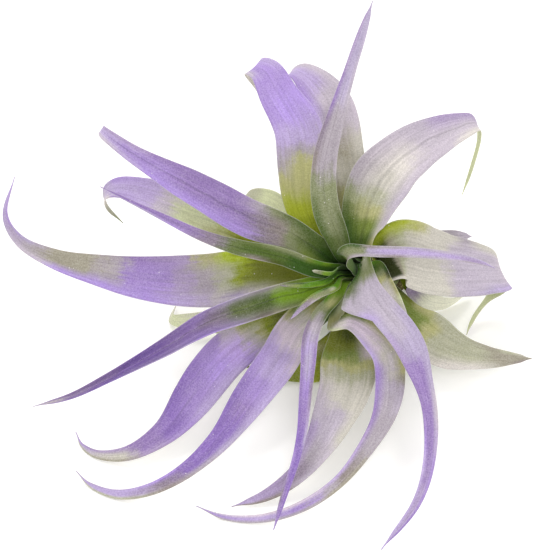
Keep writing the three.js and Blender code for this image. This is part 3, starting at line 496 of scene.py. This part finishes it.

# The colours of the leaves: where each is seen, and its sRGB value. Those marked so are painted
# shade or painted light.
HUES = {
    "heart_green": ("Young blade in the heart", "#5A8614"),
    # Painted shade: green darkened where shade falls at the bottom of a young channel.
    "channel_shade": ("Bottom of a young channel", "#2F5006"),
    "fresh_green": ("Young blade that light shines through", "#76991C"),
    "moss": ("Green blade with a few scales", "#7A8A3C"),
    "leaf_green": ("Blade just outside the heart", "#4B601E"),
    "sage_dark": ("Shaded green blade with some scales", "#5E6C36"),
    "sage": ("Scaly green blade", "#80865F"),
    "silver_green": ("Thick silver scales on green", "#ACAC92"),
    "pale_green": ("Bleached low blades and tips", "#CFD4AA"),
    # A pale blade, lightened further with painted light to near white.
    "bleached": ("Blade that the sun has bleached", "#EFEEDC"),
    "lime": ("Blade's foot where light shines through", "#8A961C"),
    # Painted light: a foot lightened as if light shone through its thinnest part.
    "lime_bright": ("Thinnest, brightest part of a foot", "#A6B02C"),
    "lime_glow": ("Foot with bright light behind it", "#B8CC2C"),
    "lime_grey": ("Where lime turns to dye", "#B2B078"),
    "olive": ("Shaded foot of a blade", "#737A26"),
    # An outer sheath's olive foot, darkened with painted shade where it lies below the plant.
    "olive_shade": ("Old sheath below the plant", "#4A5316"),
    # Painted shade: the dark deep inside of a sheath.
    "hollow": ("Deep inside of a sheath", "#2C3406"),
    "stone": ("Undyed scales", "#C0BBB0"),
    "stone_olive": ("Worn blade near a tip", "#9A9483"),
    "stone_dark": ("Worn, dirty scales", "#8A7F7B"),
    "tip_grey": ("Dry folded tips", "#D2CBC4"),
    "mauve": ("Thin dye over scales", "#A28FB4"),
    "mauve_grey": ("Dye fading into green", "#A49AA3"),
    "mauve_dark": ("Dye in a channel", "#867789"),
    "pink_mauve": ("Dye at a pale margin", "#BCB1BD"),
    # A pale band where dye begins, lightened further with painted light.
    "rose_grey": ("Pale band where dye begins", "#D3C4D2"),
    "silver_mauve": ("Thick scales with a little dye", "#B2A7B6"),
    "violet": ("Full dye", "#9C82C0"),
    "violet_bright": ("Full dye on a smooth margin", "#A68BD0"),
    "violet_light": ("Full dye in bright light", "#BFA2E4"),
    "violet_deep": ("Dye gathered along the midrib", "#8264AC"),
    "violet_dull": ("Full dye on an older blade", "#8E74AC"),
    "violet_pale": ("Dye under thick scales", "#B09DC9"),
    "violet_silver": ("Dye under silver scales", "#A99CB9"),
}

# ---- How every leaf is finished --------------------------------------------------------------

# Shares of the free blade, and shares of a full width or thickness.
TIP_START = 0.93  # where the blade narrows to its tip
TIP_WIDTH = 0.25  # of the width, before the least width holds
TIP_BODY = 0.35  # of the thickness
RIPPLE_START = (0.1, 0.3)  # over which the ripple grows
RIPPLE_COUNTS = ((2.5, 4.5), (6, 9))  # waves along a margin: a slow run and a quick one
RIPPLE_WIDTH = 10  # mm; narrower blades ripple less

# Sizes of the skin's patterns, in millimetres.
STREAK_WIDTH, STREAK_LENGTH = 1.0, 20
CLOUD = 6
RIB_WIDTH, RIB_LENGTH = 0.6, 16
GRAIN = 0.42
PATCH = 3
SPECK_CELL = 1.3
SPECK_EDGE = (0.08, 0.15)  # a speck's core and its soft edge, as shares of a cell
SPECK_CHANCE = 0.07  # share of the cells that hold a speck
SKIN_RELIEF = 0.1
FIBRE = 1.2
FIBRE_RELIEF = 0.3

# Places across the blade, from 0 on the left margin through 0.5 on the midrib to 1.
LEFT_EDGE, RIGHT_EDGE = 0.04, 0.96  # where the margin colours are full
INNER = (0.42, 0.58)  # where they begin, unless the leaf says otherwise
# How far from the midrib the painted shade in its groove reaches, and how dark it is unless the leaf says
# otherwise.
GROOVE_REACH = 0.055
GROOVE_DARKNESS = 0.04
RIM_START = 0.485  # from the midrib
CREEP_ACROSS = 0.16  # how far the dye's edge wanders across

# The dye's front follows a soft cloud and the veins. Both swing about 0.5.
VEIN_PULL = 0.5  # the veins' strength, where the cloud's is 1
CREEP_MEAN = 0.5 * VEIN_PULL + 0.5

# Two readings of a pattern, or two places along the blade, and the strengths that they stand for.
WANDER = (0.05, 0.3, 0.03, 0.14)  # of the dye's front, little at the foot
RIB_TONE = (0.7, 1.3, 0.87, 1.13)  # lightness of the fine veins
SCALE_GRAIN = (0.36, 0.68, 0.0, 1.0)  # between the scales and on them
SCALE_PATCHES = (0.35, 0.65, 0.45, 1.0)  # thin and thick cover
SCALE_TONE = (0.3, 0.7, 0.84, 1.1)  # lightness between the scales and on them
SCALE_ROUGHNESS = (0.0, 1.0, 0.52, 0.75)  # bare skin and full cover
SCALE_START = (0.08, 0.32)  # where the cover starts and is full, unless the leaf says otherwise
FOOT_COVER = 0.04
SPECK_COVER = 0.7
RIM_COVER = 0.22

# ---- The stage: lamps in metres from the camera's target, which is in millimetres ------------

TARGET = Vector((-38, -19, 24))
KEY_SIZE, KEY_PLACE = 0.45, Vector((-0.25, 0.75, 0.85))
FILL_SIZE, FILL_PLACE = 0.8, Vector((0.3, -0.8, 0.9))
SENSOR = 36
PICTURE_PIXELS = 551  # the picture's longer side, which the sensor spans
FOCAL_PIXELS = 2333.33
CLIP = (0.01, 20)
WHITE = (1, 1, 1, 1)


# ---- Directions, curves and frames -----------------------------------------------------------

RIGHT = Vector((1, 0, 0))
RIGHT = (RIGHT - GROWTH * RIGHT.dot(GROWTH)).normalized()
UPWARDS = GROWTH.cross(RIGHT)


def outward(heading):
    """The direction away from the growth axis at a heading in degrees."""
    angle = math.radians(heading)
    return RIGHT * math.cos(angle) + UPWARDS * math.sin(angle)


def beside_stem(heading, rise, radius):
    """A point at a height on the growth axis and a distance from it."""
    return STEM_END + GROWTH * rise + outward(heading) * radius


def stem_radius(rise):
    """The stem's radius at a height on the growth axis."""
    taper = (rise - STEM_TAPER_START) / (STEM_LENGTH - STEM_TAPER_START)
    taper = min(max(taper, 0), 1)
    return STEM_RADIUS + (STEM_TIP_RADIUS - STEM_RADIUS) * taper


def along(values, share):
    """A smooth value from a list spread evenly over 0 to 1."""
    place = share * (len(values) - 1)
    i = min(int(place), len(values) - 2)
    f = place - i
    before = values[max(i - 1, 0)]
    start, end = values[i], values[i + 1]
    after = values[min(i + 2, len(values) - 1)]
    bend = 2 * before - 5 * start + 4 * end - after + f * (3 * (start - end) + after - before)
    return start + 0.5 * f * (end - before + f * bend)


def smooth(edge_low, edge_high, value):
    """0 up to one edge, 1 from the other, and an even swing between them."""
    t = min(max((value - edge_low) / (edge_high - edge_low), 0), 1)
    return t * t * (3 - 2 * t)


def curve_point(route, share):
    """A point of the centripetal Catmull-Rom curve through the route."""
    place = share * (len(route) - 1)
    i = min(int(place), len(route) - 2)
    f = place - i
    start, end = route[i], route[i + 1]
    before = route[i - 1] if i else 2 * route[0] - route[1]
    after = route[i + 2] if i + 2 < len(route) else 2 * route[-1] - route[-2]
    gap = (end - start).length_squared ** 0.25
    gap_before = (start - before).length_squared ** 0.25
    gap_after = (after - end).length_squared ** 0.25
    leave = (start - before) / gap_before - (end - before) / (gap_before + gap) + (end - start) / gap
    arrive = (end - start) / gap - (after - start) / (gap + gap_after) + (after - end) / gap_after
    leave *= gap
    arrive *= gap
    square = 3 * (end - start) - 2 * leave - arrive
    cube = 2 * (start - end) + leave + arrive
    return start + leave * f + square * f * f + cube * f ** 3


def even_points(route, steps):
    """Points at even distances along the curve, and the curve's length."""
    samples = [curve_point(route, k / CURVE_SAMPLES) for k in range(CURVE_SAMPLES + 1)]
    reach = [0.0]
    for a, b in zip(samples, samples[1:]):
        reach.append(reach[-1] + (b - a).length)
    points = []
    k = 0
    for step in range(steps + 1):
        goal = reach[-1] * step / steps
        while k < CURVE_SAMPLES - 1 and reach[k + 1] < goal:
            k += 1
        share = (k + (goal - reach[k]) / (reach[k + 1] - reach[k])) / CURVE_SAMPLES
        points.append(curve_point(route, min(share, 1)))
    return points, reach[-1]


def flare(leaf, free):
    """Which margin flares out here, 1 for the right one and -1 for the left, and by how much."""
    if "flare" not in leaf:
        return 1, 0
    margin, start, peak, end, reach = leaf["flare"]
    return margin, reach * max(min((free - start) / (peak - start), (end - free) / (end - peak)), 0)


def leaf_frames(leaf):
    """Point, upper direction, sideways direction and section at each step along a leaf."""
    shell, heading = leaf["shell"], leaf["heading"]
    grip = math.radians(leaf["grip"])
    foot_rise = SHELL_FOOT_START - SHELL_FOOT_STEP * shell
    foot_radius = stem_radius(foot_rise) + SHELL_GAP
    mouth_rise = MOUTH_START - MOUTH_STEP * shell - MOUTH_STEP_GROWTH * shell * shell
    mouth_radius = MOUTH_RADIUS + MOUTH_RADIUS_STEP * shell
    foot = beside_stem(heading, foot_rise, foot_radius)
    mouth = beside_stem(heading, mouth_rise, mouth_radius)
    middle = beside_stem(heading, (foot_rise + mouth_rise) / 2, (foot_radius + mouth_radius) / 2)
    route = [foot, middle, mouth] + [Vector(point) for point in leaf["path"]]
    points, length = even_points(route, FRAME_STEPS)
    sheath = (mouth - foot).length / length
    widths = [grip * mouth_radius] + leaf["width"]
    folds = [leaf["grip"]] + leaf["fold"]
    face = -outward(heading)
    previous = None
    frames = []
    for i, point in enumerate(points):
        tangent = (points[min(i + 1, FRAME_STEPS)] - points[max(i - 1, 0)]).normalized()
        if previous is not None:
            face = previous.rotation_difference(tangent) @ face
        face = (face - tangent * face.dot(tangent)).normalized()
        previous = tangent
        share = i / FRAME_STEPS
        free = max((share - sheath) / (1 - sheath), 0)
        in_sheath = min(share / sheath, 1)
        sheath_radius = foot_radius + (mouth_radius - foot_radius) * in_sheath
        up = Quaternion(tangent, math.radians(along(leaf["roll"], free))) @ face
        frames.append(dict(
            point=point,
            up=up,
            side=tangent.cross(up),
            free=free,
            v=free if free > 0 else SHEATH_V * (in_sheath - 1),
            width=along(widths, free) if free > 0 else grip * sheath_radius,
            fold=math.radians(along(folds, free)),
            skew=along(leaf["skew"], free) if "skew" in leaf else 0,
            flare=flare(leaf, free),
            lift=leaf.get("pleat", 0) * math.sin(math.pi * free),
        ))
    return frames, length * (1 - sheath)


def blade_point(section, across, width):
    """A point of the blade's middle surface and its normal; across runs from -1 to 1."""
    radius = width / section["fold"]
    margin, reach = section["flare"]
    aside = width * across / 2 + section["skew"] + max(margin * across, 0) * margin * reach
    angle = aside / radius
    normal = section["up"] * math.cos(angle) - section["side"] * math.sin(angle)
    position = (
        section["point"]
        + section["side"] * (radius * math.sin(angle))
        + section["up"] * (radius * (1 - math.cos(angle)))
        + normal * (section["lift"] * math.cos(2 * math.pi * across))
    )
    return position, normal


# ---- Materials -------------------------------------------------------------------------------

def linear(hex_colour):
    """An sRGB hex colour as linear RGBA."""
    channels = [int(hex_colour[i:i + 2], 16) / 255 for i in (1, 3, 5)]
    return [c / 12.92 if c <= 0.04045 else ((c + 0.055) / 1.055) ** 2.4 for c in channels] + [1]


def add_node(tree, kind, inputs=(), stops=(), **settings):
    """Adds a shader node with its settings, and links or fills its inputs.

    Inputs are a list in the node's own order, or go by name or number. A node given as an input
    stands for its first output. Map Range takes its value, the range it comes from and the range
    it goes to. Mix has its colours at 6 and 7 and the mixed colour at output 2. Stops are a
    ramp's places and colours."""
    made = tree.nodes.new("ShaderNode" + kind)
    for key, value in settings.items():
        setattr(made, key, value)
    sockets = inputs if isinstance(inputs, dict) else dict(enumerate(inputs))
    for socket, value in sockets.items():
        if isinstance(value, bpy.types.Node):
            value = value.outputs[0]
        if isinstance(value, bpy.types.NodeSocket):
            tree.links.new(value, made.inputs[socket])
        else:
            made.inputs[socket].default_value = value
    if stops:
        ramp = made.color_ramp.elements
        while len(ramp) < len(stops):
            ramp.new(1)
        while len(ramp) > len(stops):
            ramp.remove(ramp[-1])
        for element, (place, colour) in zip(ramp, stops):
            element.position = place
            element.color = colour
    return made


def new_material(name):
    """A material without nodes, and the function that adds its nodes."""
    material = bpy.data.materials.new(name)
    material.use_nodes = True
    material.node_tree.nodes.clear()
    return material, partial(add_node, material.node_tree)


def hue(settings, name):
    """A colour among the settings, as RGBA."""
    return [*getattr(settings, name), 1]


def leaf_material(name, leaf, length, settings):
    """Leaf skin: dye soaked in from the tips over green, along the veins, under silver scales."""
    material, add = new_material(name.replace("leaf_", "dyed_leaf_"))
    widest = max(leaf["width"])
    silver = hue(settings, "scales")
    uv = add("UVMap", uv_map="Blade")
    place = add("SeparateXYZ", [uv])
    across, lengthwise = place.outputs[0], place.outputs[1]
    metres = add("TexCoord").outputs["Object"]

    # Dye creeps further along some veins than others: streaks about 1 mm wide and 20 mm long.
    streaks = add("Mapping", {0: uv, "Scale": (widest / STREAK_WIDTH, length / STREAK_LENGTH, 1)})
    veins = add("TexNoise", {"Vector": streaks, "Scale": 1.0, "Detail": 2.0})
    cloud = add("TexNoise", {"Vector": metres, "Scale": 1 / (CLOUD * MM), "Detail": 4.0, "Roughness": 0.6})
    creep = add("Math", [veins, VEIN_PULL, cloud], operation="MULTIPLY_ADD")
    creep = add("Math", [creep, CREEP_MEAN], operation="SUBTRACT")
    freedom = add("MapRange", [lengthwise, *WANDER])
    shift = add("Math", [creep, freedom, lengthwise], operation="MULTIPLY_ADD")
    sideways = add("Math", [creep, CREEP_ACROSS, across], operation="MULTIPLY_ADD")

    # The sheath is below 0 on the map, where a ramp holds its first colour.
    def ramp(stops):
        made = add("ValToRGB", [shift], [(spot, hue(settings, key)) for spot, key in stops.items()])
        made.color_ramp.interpolation = "EASE"
        return made.outputs[0]

    colour = ramp(leaf["mid"])
    left_inner, right_inner = leaf.get("inner", INNER)
    for margin, inner, edge in (("left", left_inner, LEFT_EDGE), ("right", right_inner, RIGHT_EDGE)):
        share = add("MapRange", [sideways, inner, edge, 0.0, 1.0], interpolation_type="SMOOTHSTEP")
        dyed = add("Mix", {0: share, 6: colour, 7: ramp(leaf.get(margin, leaf["mid"]))}, data_type="RGBA")
        colour = dyed.outputs[2]
    if "under" in leaf:
        lower = add("Attribute", attribute_name="lower_face")
        turned = add("Mix", {0: lower.outputs["Fac"], 6: colour, 7: ramp(leaf["under"])}, data_type="RGBA")
        colour = turned.outputs[2]

    # Painted shade darkens the midrib's groove, along a line that wavers a little.
    aside = add("Math", [sideways, 0.5], operation="SUBTRACT")
    aside = add("Math", [aside], operation="ABSOLUTE")
    bottom = 1 - leaf.get("groove", GROOVE_DARKNESS)
    groove = add("MapRange", [aside, 0.0, GROOVE_REACH, bottom, 1.0], interpolation_type="SMOOTHSTEP")
    grooved = add("VectorMath", {0: colour, "Scale": groove}, operation="SCALE")

    # Fine veins, about 0.6 mm apart.
    lines = add("Mapping", {0: uv, "Scale": (widest / RIB_WIDTH, length / RIB_LENGTH, 1)})
    fine = add("TexNoise", {"Vector": lines, "Scale": 1.0, "Detail": 2.0})
    ribs = add("Math", [fine, veins], operation="ADD")
    tone = add("MapRange", [ribs, *RIB_TONE])
    toned = add("VectorMath", {0: grooved, "Scale": tone}, operation="SCALE")

    # Silver scales, thicker in patches, and few at the foot. Real ones are about 0.2 mm across,
    # too fine to show, so their grain is drawn 0.4 mm across.
    grain = add("TexNoise", {"Vector": metres, "Scale": 1 / (GRAIN * MM), "Detail": 2.0, "Roughness": 0.7})
    grains = add("MapRange", [grain, *SCALE_GRAIN])
    patch = add("TexNoise", {"Vector": metres, "Scale": 1 / (PATCH * MM), "Detail": 3.0})
    patches = add("MapRange", [patch, *SCALE_PATCHES])
    frost = add("Math", [grains, patches], operation="MULTIPLY")
    bare, thick = leaf.get("scales", SCALE_START)
    growth = add("MapRange", [lengthwise, bare, thick, FOOT_COVER, settings.scale_cover])
    cover = add("Math", [frost, growth], operation="MULTIPLY")
    depth = add("MapRange", [grain, *SCALE_TONE])
    grained = add("VectorMath", {0: toned, "Scale": depth}, operation="SCALE")
    skin = add("Mix", {0: cover, 6: grained, 7: silver}, data_type="RGBA")

    # Here and there a raised scale catches the light: specks 0.3 mm across, about 5 mm apart.
    cells = add("TexVoronoi", {"Vector": metres, "Scale": 1 / (SPECK_CELL * MM)})
    speck = add("MapRange", [cells.outputs["Distance"], *SPECK_EDGE, SPECK_COVER, 0.0])
    chance = add("SeparateColor", [cells.outputs["Color"]])
    chosen = add("Math", [chance, 1 - SPECK_CHANCE], operation="GREATER_THAN")
    bright = add("Math", [speck, chosen], operation="MULTIPLY")
    flecked = add("Mix", {0: bright, 6: skin.outputs[2], 7: silver}, data_type="RGBA")

    # The thin margin is a little paler.
    from_middle = add("Math", [across, 0.5], operation="SUBTRACT")
    from_middle = add("Math", [from_middle], operation="ABSOLUTE")
    rim = add("MapRange", [from_middle, RIM_START, 0.5, 0.0, RIM_COVER])
    edged = add("Mix", {0: rim, 6: flecked.outputs[2], 7: silver}, data_type="RGBA")

    relief = add("Math", [frost, 0.5, fine], operation="MULTIPLY_ADD")
    bump = add("Bump", {"Height": relief, "Strength": 0.3, "Distance": SKIN_RELIEF * MM})
    rough = add("MapRange", [frost, *SCALE_ROUGHNESS])
    blade = add("BsdfPrincipled", {
        "Base Color": edged.outputs[2],
        "Roughness": rough,
        "Normal": bump,
        "IOR": 1.42,
        "Specular IOR Level": 0.12,
        "Sheen Weight": 0.05,
        "Sheen Roughness": 0.5,
    })
    add("OutputMaterial", [blade])
    return material


def bark_material(settings):
    """Dry stem and roots: brown, fibrous and without gloss."""
    material, add = new_material("dry_woody_stem")
    metres = add("TexCoord").outputs["Object"]
    fibre = add("TexNoise", {"Vector": metres, "Scale": 1 / (FIBRE * MM), "Detail": 4.0, "Roughness": 0.7})
    stops = [(0.3, linear("#2B2712")), (0.5, hue(settings, "bark")), (0.75, linear("#8A8152"))]
    colour = add("ValToRGB", [fibre], stops)
    bump = add("Bump", {"Height": fibre, "Strength": 0.8, "Distance": FIBRE_RELIEF * MM})
    bark = add("BsdfPrincipled", {
        "Base Color": colour, "Normal": bump, "Roughness": 0.85, "Specular IOR Level": 0.25,
    })
    add("OutputMaterial", [bark])
    return material


def paper_material(settings):
    """Matt white paper: even, almost without gloss, with a little light shining up through it."""
    material, add = new_material("matt_white_paper")
    paper = add("BsdfPrincipled", {
        "Base Color": hue(settings, "floor_colour"), "Roughness": 0.9, "Specular IOR Level": 0.1,
        "Emission Color": WHITE, "Emission Strength": settings.floor_glow,
    })
    add("OutputMaterial", [paper])
    return material


# ---- Meshes ----------------------------------------------------------------------------------

def new_object(name, bm, material):
    """Turns a bmesh into an object in the scene."""
    mesh = bpy.data.meshes.new(name)
    bm.to_mesh(mesh)
    bm.free()
    mesh.materials.append(material)
    made = bpy.data.objects.new(name, mesh)
    bpy.context.scene.collection.objects.link(made)
    return made


def finish_piece(name, bm, material, node):
    """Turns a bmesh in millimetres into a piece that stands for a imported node."""
    bmesh.ops.scale(bm, vec=(MM, MM, MM), verts=bm.verts)
    piece = new_object(name, bm, material)
    piece.data.polygons.foreach_set("use_smooth", [True] * len(piece.data.polygons))
    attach(piece, BODY)
    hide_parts(node)


def only(kind, items):
    """Those of a bmesh operator's items that are of one kind."""
    return [item for item in items if isinstance(item, kind)]


def leaf_mesh(leaf, frames, settings, seed):
    """A flat plate of faces, bent into the leaf: x runs across, y along and z through it."""
    rng = random.Random(seed)
    # Each margin has a slow and a quick ripple, the left one's before the right one's.
    ripple_turn = [rng.uniform(0, math.tau) for _ in range(4)]
    ripple_count = [rng.uniform(*span) for span in RIPPLE_COUNTS for _ in range(2)]
    bm = bmesh.new()
    uv = bm.loops.layers.uv.new("Blade")
    lower_face = bm.verts.layers.float.new("lower_face")
    bmesh.ops.create_grid(bm, x_segments=ACROSS, y_segments=FRAME_STEPS, size=1)
    raised = bmesh.ops.extrude_face_region(bm, geom=bm.faces[:])["geom"]
    bmesh.ops.translate(bm, vec=(0, 0, 1), verts=only(BMVert, raised))
    bmesh.ops.recalc_face_normals(bm, faces=bm.faces)

    def section_at(y):
        return frames[round((y + 1) / 2 * FRAME_STEPS)]

    for face in bm.faces:
        for loop in face.loops:
            x, y = loop.vert.co.xy
            loop[uv].uv = ((x + 1) / 2, section_at(y)["v"])
    for vert in bm.verts:
        x, y, z = vert.co
        section = section_at(y)
        free = section["free"]
        tip = smooth(1, TIP_START, free)
        width = max(section["width"] * (TIP_WIDTH + (1 - TIP_WIDTH) * tip), settings.tip_width)
        position, normal = blade_point(section, x, width)
        # Margins ripple a little; the blade thins towards them and towards the tip.
        side = 0 if x < 0 else 1
        ripple = 0
        for k in range(2):
            turns = ripple_count[side + 2 * k] * math.tau * free + ripple_turn[side + 2 * k]
            ripple += math.sin(turns) / (k + 1)
        wave = (
            settings.ripple * ripple * x ** 4 * smooth(*RIPPLE_START, free)
            * min(width / RIPPLE_WIDTH, 1) * tip
        )
        body = math.sqrt(max(1 - x ** 2, 0)) * (TIP_BODY + (1 - TIP_BODY) * tip)
        margin = settings.margin_thickness
        thickness = margin + (settings.blade_thickness - margin) * body
        vert[lower_face] = 1 - z
        vert.co = position + normal * (wave + (z - 0.5) * thickness)
    return bm


def random_shares(seed):
    """Shares of 1 in the solids' own order, so that the roots stand where theirs do."""
    state = seed
    while True:
        state = state * ROOT_RANDOM_FACTOR % ROOT_RANDOM_SPAN
        yield state / ROOT_RANDOM_SPAN


def add_root_stubs(bm):
    """Trimmed roots: short tapered stubs out of the cut end, with small random turns."""
    shares = random_shares(ROOT_SEED)
    for stub in range(ROOT_COUNT):
        heading = 360 * (stub + ROOT_TURN * next(shares)) / ROOT_COUNT
        lean = ROOT_SPLAY[0] + ROOT_SPLAY[1] * next(shares)
        ring = ROOT_RING[0] + ROOT_RING[1] * next(shares)
        direction = (outward(heading) * lean - GROWTH).normalized()
        middle = beside_stem(heading, 0, ring) + direction * (ROOT_LENGTH / 2 - ROOT_BURIED)
        turn = Vector((0, 0, 1)).rotation_difference(direction).to_matrix().to_4x4()
        bmesh.ops.create_cone(
            bm, cap_ends=True, segments=ROOT_SIDES, radius1=ROOT_RADIUS, radius2=ROOT_TIP_RADIUS,
            depth=ROOT_LENGTH, matrix=Matrix.Translation(middle) @ turn)


def stem_mesh():
    """A tapered stem on the growth axis, with its trimmed roots, cut flat at the surface."""
    bm = bmesh.new()
    profile = [(CUT_RADIUS, 0), (COLLAR_RADIUS, COLLAR_RISE), (STEM_RADIUS, STEM_TAPER_START),
               (STEM_TIP_RADIUS, STEM_LENGTH)]
    bmesh.ops.create_circle(bm, cap_ends=True, segments=STEM_SIDES, radius=CUT_RADIUS)
    edges = bm.edges[:]
    for (radius, rise), (next_radius, next_rise) in zip(profile, profile[1:]):
        steps = max(round((next_rise - rise) / STEM_STEP), 1)
        for step in range(1, steps + 1):
            share = step / steps
            at_radius = radius + (next_radius - radius) * share
            made = bmesh.ops.extrude_edge_only(bm, edges=edges)["geom"]
            edges = only(BMEdge, made)
            for vert in only(BMVert, made):
                flat = Vector((vert.co.x, vert.co.y)).normalized() * at_radius
                vert.co = (flat.x, flat.y, rise + (next_rise - rise) * share)
    bmesh.ops.contextual_create(bm, geom=edges)
    turn = Vector((0, 0, 1)).rotation_difference(GROWTH).to_matrix()
    bmesh.ops.rotate(bm, verts=bm.verts, matrix=turn)
    bmesh.ops.translate(bm, verts=bm.verts, vec=STEM_END)
    add_root_stubs(bm)
    cut = bmesh.ops.bisect_plane(
        bm, geom=bm.verts[:] + bm.edges[:] + bm.faces[:], plane_co=(0, 0, 0), plane_no=(0, 0, 1),
        clear_inner=True)["geom_cut"]
    bmesh.ops.edgeloop_fill(bm, edges=only(BMEdge, cut))
    bmesh.ops.recalc_face_normals(bm, faces=bm.faces)
    return bm


# ---- Settings --------------------------------------------------------------------------------

class AirPlantSettings(bpy.types.PropertyGroup):
    """Sizes and finish of the leaves and the stem."""
    blade_thickness: bpy.props.FloatProperty(
        name="Blade thickness", description="Thickness on the midrib, in mm", default=0.6, min=0.2)
    margin_thickness: bpy.props.FloatProperty(
        name="Margin thickness", description="Thickness at a blade's edge, in mm", default=0.12, min=0.02)
    tip_width: bpy.props.FloatProperty(
        name="Tip width", description="Width of a leaf at its very tip, in mm", default=0.3, min=0.05)
    ripple: bpy.props.FloatProperty(
        name="Margin ripple", description="How far the margins wave, in mm", default=0.1, min=0)
    scale_cover: bpy.props.FloatProperty(
        name="Scale cover", description="How far silver scales hide the skin", default=0.16, min=0, max=1,
        subtype="FACTOR")
    scales: bpy.props.FloatVectorProperty(
        name="Scales", description="Silver scales", subtype="COLOR", default=linear("#EDEAE6")[:3])
    bark: bpy.props.FloatVectorProperty(
        name="Bark", description="Dry stem", subtype="COLOR", default=linear("#5F5630")[:3])


for key, (words, hex_colour) in HUES.items():
    AirPlantSettings.__annotations__[key] = bpy.props.FloatVectorProperty(
        name=key.replace("_", " ").capitalize(), description=words, subtype="COLOR",
        default=linear(hex_colour)[:3])


class StudioSettings(bpy.types.PropertyGroup):
    """Floor, light and camera."""
    floor_colour: bpy.props.FloatVectorProperty(
        name="Floor", description="Pale plain floor", subtype="COLOR", default=linear("#F6F5F3")[:3])
    floor_glow: bpy.props.FloatProperty(
        name="Floor glow", description="Light that shines up through the paper", default=0.16, min=0)
    floor_size: bpy.props.FloatProperty(
        name="Floor size", description="Side of the floor", default=6.0, min=1.0, unit="LENGTH")
    sky_strength: bpy.props.FloatProperty(
        name="Soft light", description="Strength of the even light all round", default=0.95, min=0)
    key_power: bpy.props.FloatProperty(
        name="Key light", description="Power of the large lamp behind the plant, in watts",
        default=5.0, min=0)
    fill_power: bpy.props.FloatProperty(
        name="Fill light", description="Power of the broad lamp over the camera, in watts",
        default=4.0, min=0)
    camera_distance: bpy.props.FloatProperty(
        name="Camera distance", description="From the camera to its target", default=0.7, min=0.1,
        unit="LENGTH")
    camera_elevation: bpy.props.FloatProperty(
        name="Camera elevation", description="Angle above the floor", default=math.radians(45),
        unit="ROTATION")


# ---- Operators -------------------------------------------------------------------------------

class AIRPLANT_OT_leaves(bpy.types.Operator):
    """Builds every leaf from its plan"""
    bl_idname = "airplant.leaves"
    bl_label = "Leaves"

    def execute(self, context):
        settings = context.scene.air_plant
        for seed, (name, leaf) in enumerate(LEAVES.items()):
            frames, length = leaf_frames(leaf)
            material = leaf_material(name, leaf, length, settings)
            bm = leaf_mesh(leaf, frames, settings, seed)
            finish_piece(name.replace("leaf_", "blade_"), bm, material, name)
        return {"FINISHED"}


class AIRPLANT_OT_stem(bpy.types.Operator):
    """Builds the woody stem"""
    bl_idname = "airplant.stem"
    bl_label = "Stem"

    def execute(self, context):
        bark = bark_material(context.scene.air_plant)
        finish_piece("woody_stem", stem_mesh(), bark, "stem")
        return {"FINISHED"}


class AIRPLANT_OT_studio(bpy.types.Operator):
    """Builds the floor, the lights and the camera"""
    bl_idname = "airplant.studio"
    bl_label = "Studio"

    def execute(self, context):
        settings = context.scene.air_plant_studio
        scene = context.scene
        bm = bmesh.new()
        bmesh.ops.create_grid(bm, x_segments=1, y_segments=1, size=settings.floor_size / 2)
        new_object("floor", bm, paper_material(settings))

        world = bpy.data.worlds.new("soft_white_room")
        world.use_nodes = True
        world.node_tree.nodes.clear()
        sky = add_node(world.node_tree, "Background", [WHITE, settings.sky_strength])
        add_node(world.node_tree, "OutputWorld", [sky])
        scene.world = world

        target = TARGET * MM
        for name, power, size, place in (
            ("key", settings.key_power, KEY_SIZE, KEY_PLACE),
            ("fill", settings.fill_power, FILL_SIZE, FILL_PLACE),
        ):
            light = bpy.data.lights.new(name, "AREA")
            light.size = size
            light.energy = power
            lamp = bpy.data.objects.new(name, light)
            lamp.location = target + place
            lamp.rotation_euler = (-place).to_track_quat("-Z", "Y").to_euler()
            scene.collection.objects.link(lamp)

        lens = bpy.data.cameras.new("camera")
        lens.sensor_fit = "AUTO"
        lens.sensor_width = SENSOR
        lens.lens = SENSOR * FOCAL_PIXELS / PICTURE_PIXELS
        lens.clip_start, lens.clip_end = CLIP
        camera = bpy.data.objects.new("camera", lens)
        angle = settings.camera_elevation
        back = Vector((0, -math.cos(angle), math.sin(angle)))
        camera.location = target + back * settings.camera_distance
        camera.rotation_euler = (-back).to_track_quat("-Z", "Y").to_euler()
        scene.collection.objects.link(camera)
        scene.camera = camera
        scene.view_settings.view_transform = "Standard"
        scene.view_settings.look = "None"
        return {"FINISHED"}


class AIRPLANT_PT_panel(bpy.types.Panel):
    """Lists the plant's steps and settings"""
    bl_idname = "AIRPLANT_PT_panel"
    bl_label = "Air plant"
    bl_space_type = "VIEW_3D"
    bl_region_type = "UI"
    bl_category = "Air plant"

    def draw(self, context):
        for operator in (AIRPLANT_OT_leaves, AIRPLANT_OT_stem, AIRPLANT_OT_studio):
            self.layout.operator(operator.bl_idname)
        for group in (context.scene.air_plant, context.scene.air_plant_studio):
            for key in group.__annotations__:
                self.layout.prop(group, key)


CLASSES = (
    AirPlantSettings, StudioSettings, AIRPLANT_OT_leaves, AIRPLANT_OT_stem, AIRPLANT_OT_studio,
    AIRPLANT_PT_panel,
)


def register():
    for cls in CLASSES:
        bpy.utils.register_class(cls)
    bpy.types.Scene.air_plant = bpy.props.PointerProperty(type=AirPlantSettings)
    bpy.types.Scene.air_plant_studio = bpy.props.PointerProperty(type=StudioSettings)


def unregister():
    del bpy.types.Scene.air_plant
    del bpy.types.Scene.air_plant_studio
    for cls in reversed(CLASSES):
        bpy.utils.unregister_class(cls)


def main():
    register()
    bpy.ops.airplant.leaves()
    bpy.ops.airplant.stem()
    bpy.ops.airplant.studio()


if __name__ == "__main__":
    main()
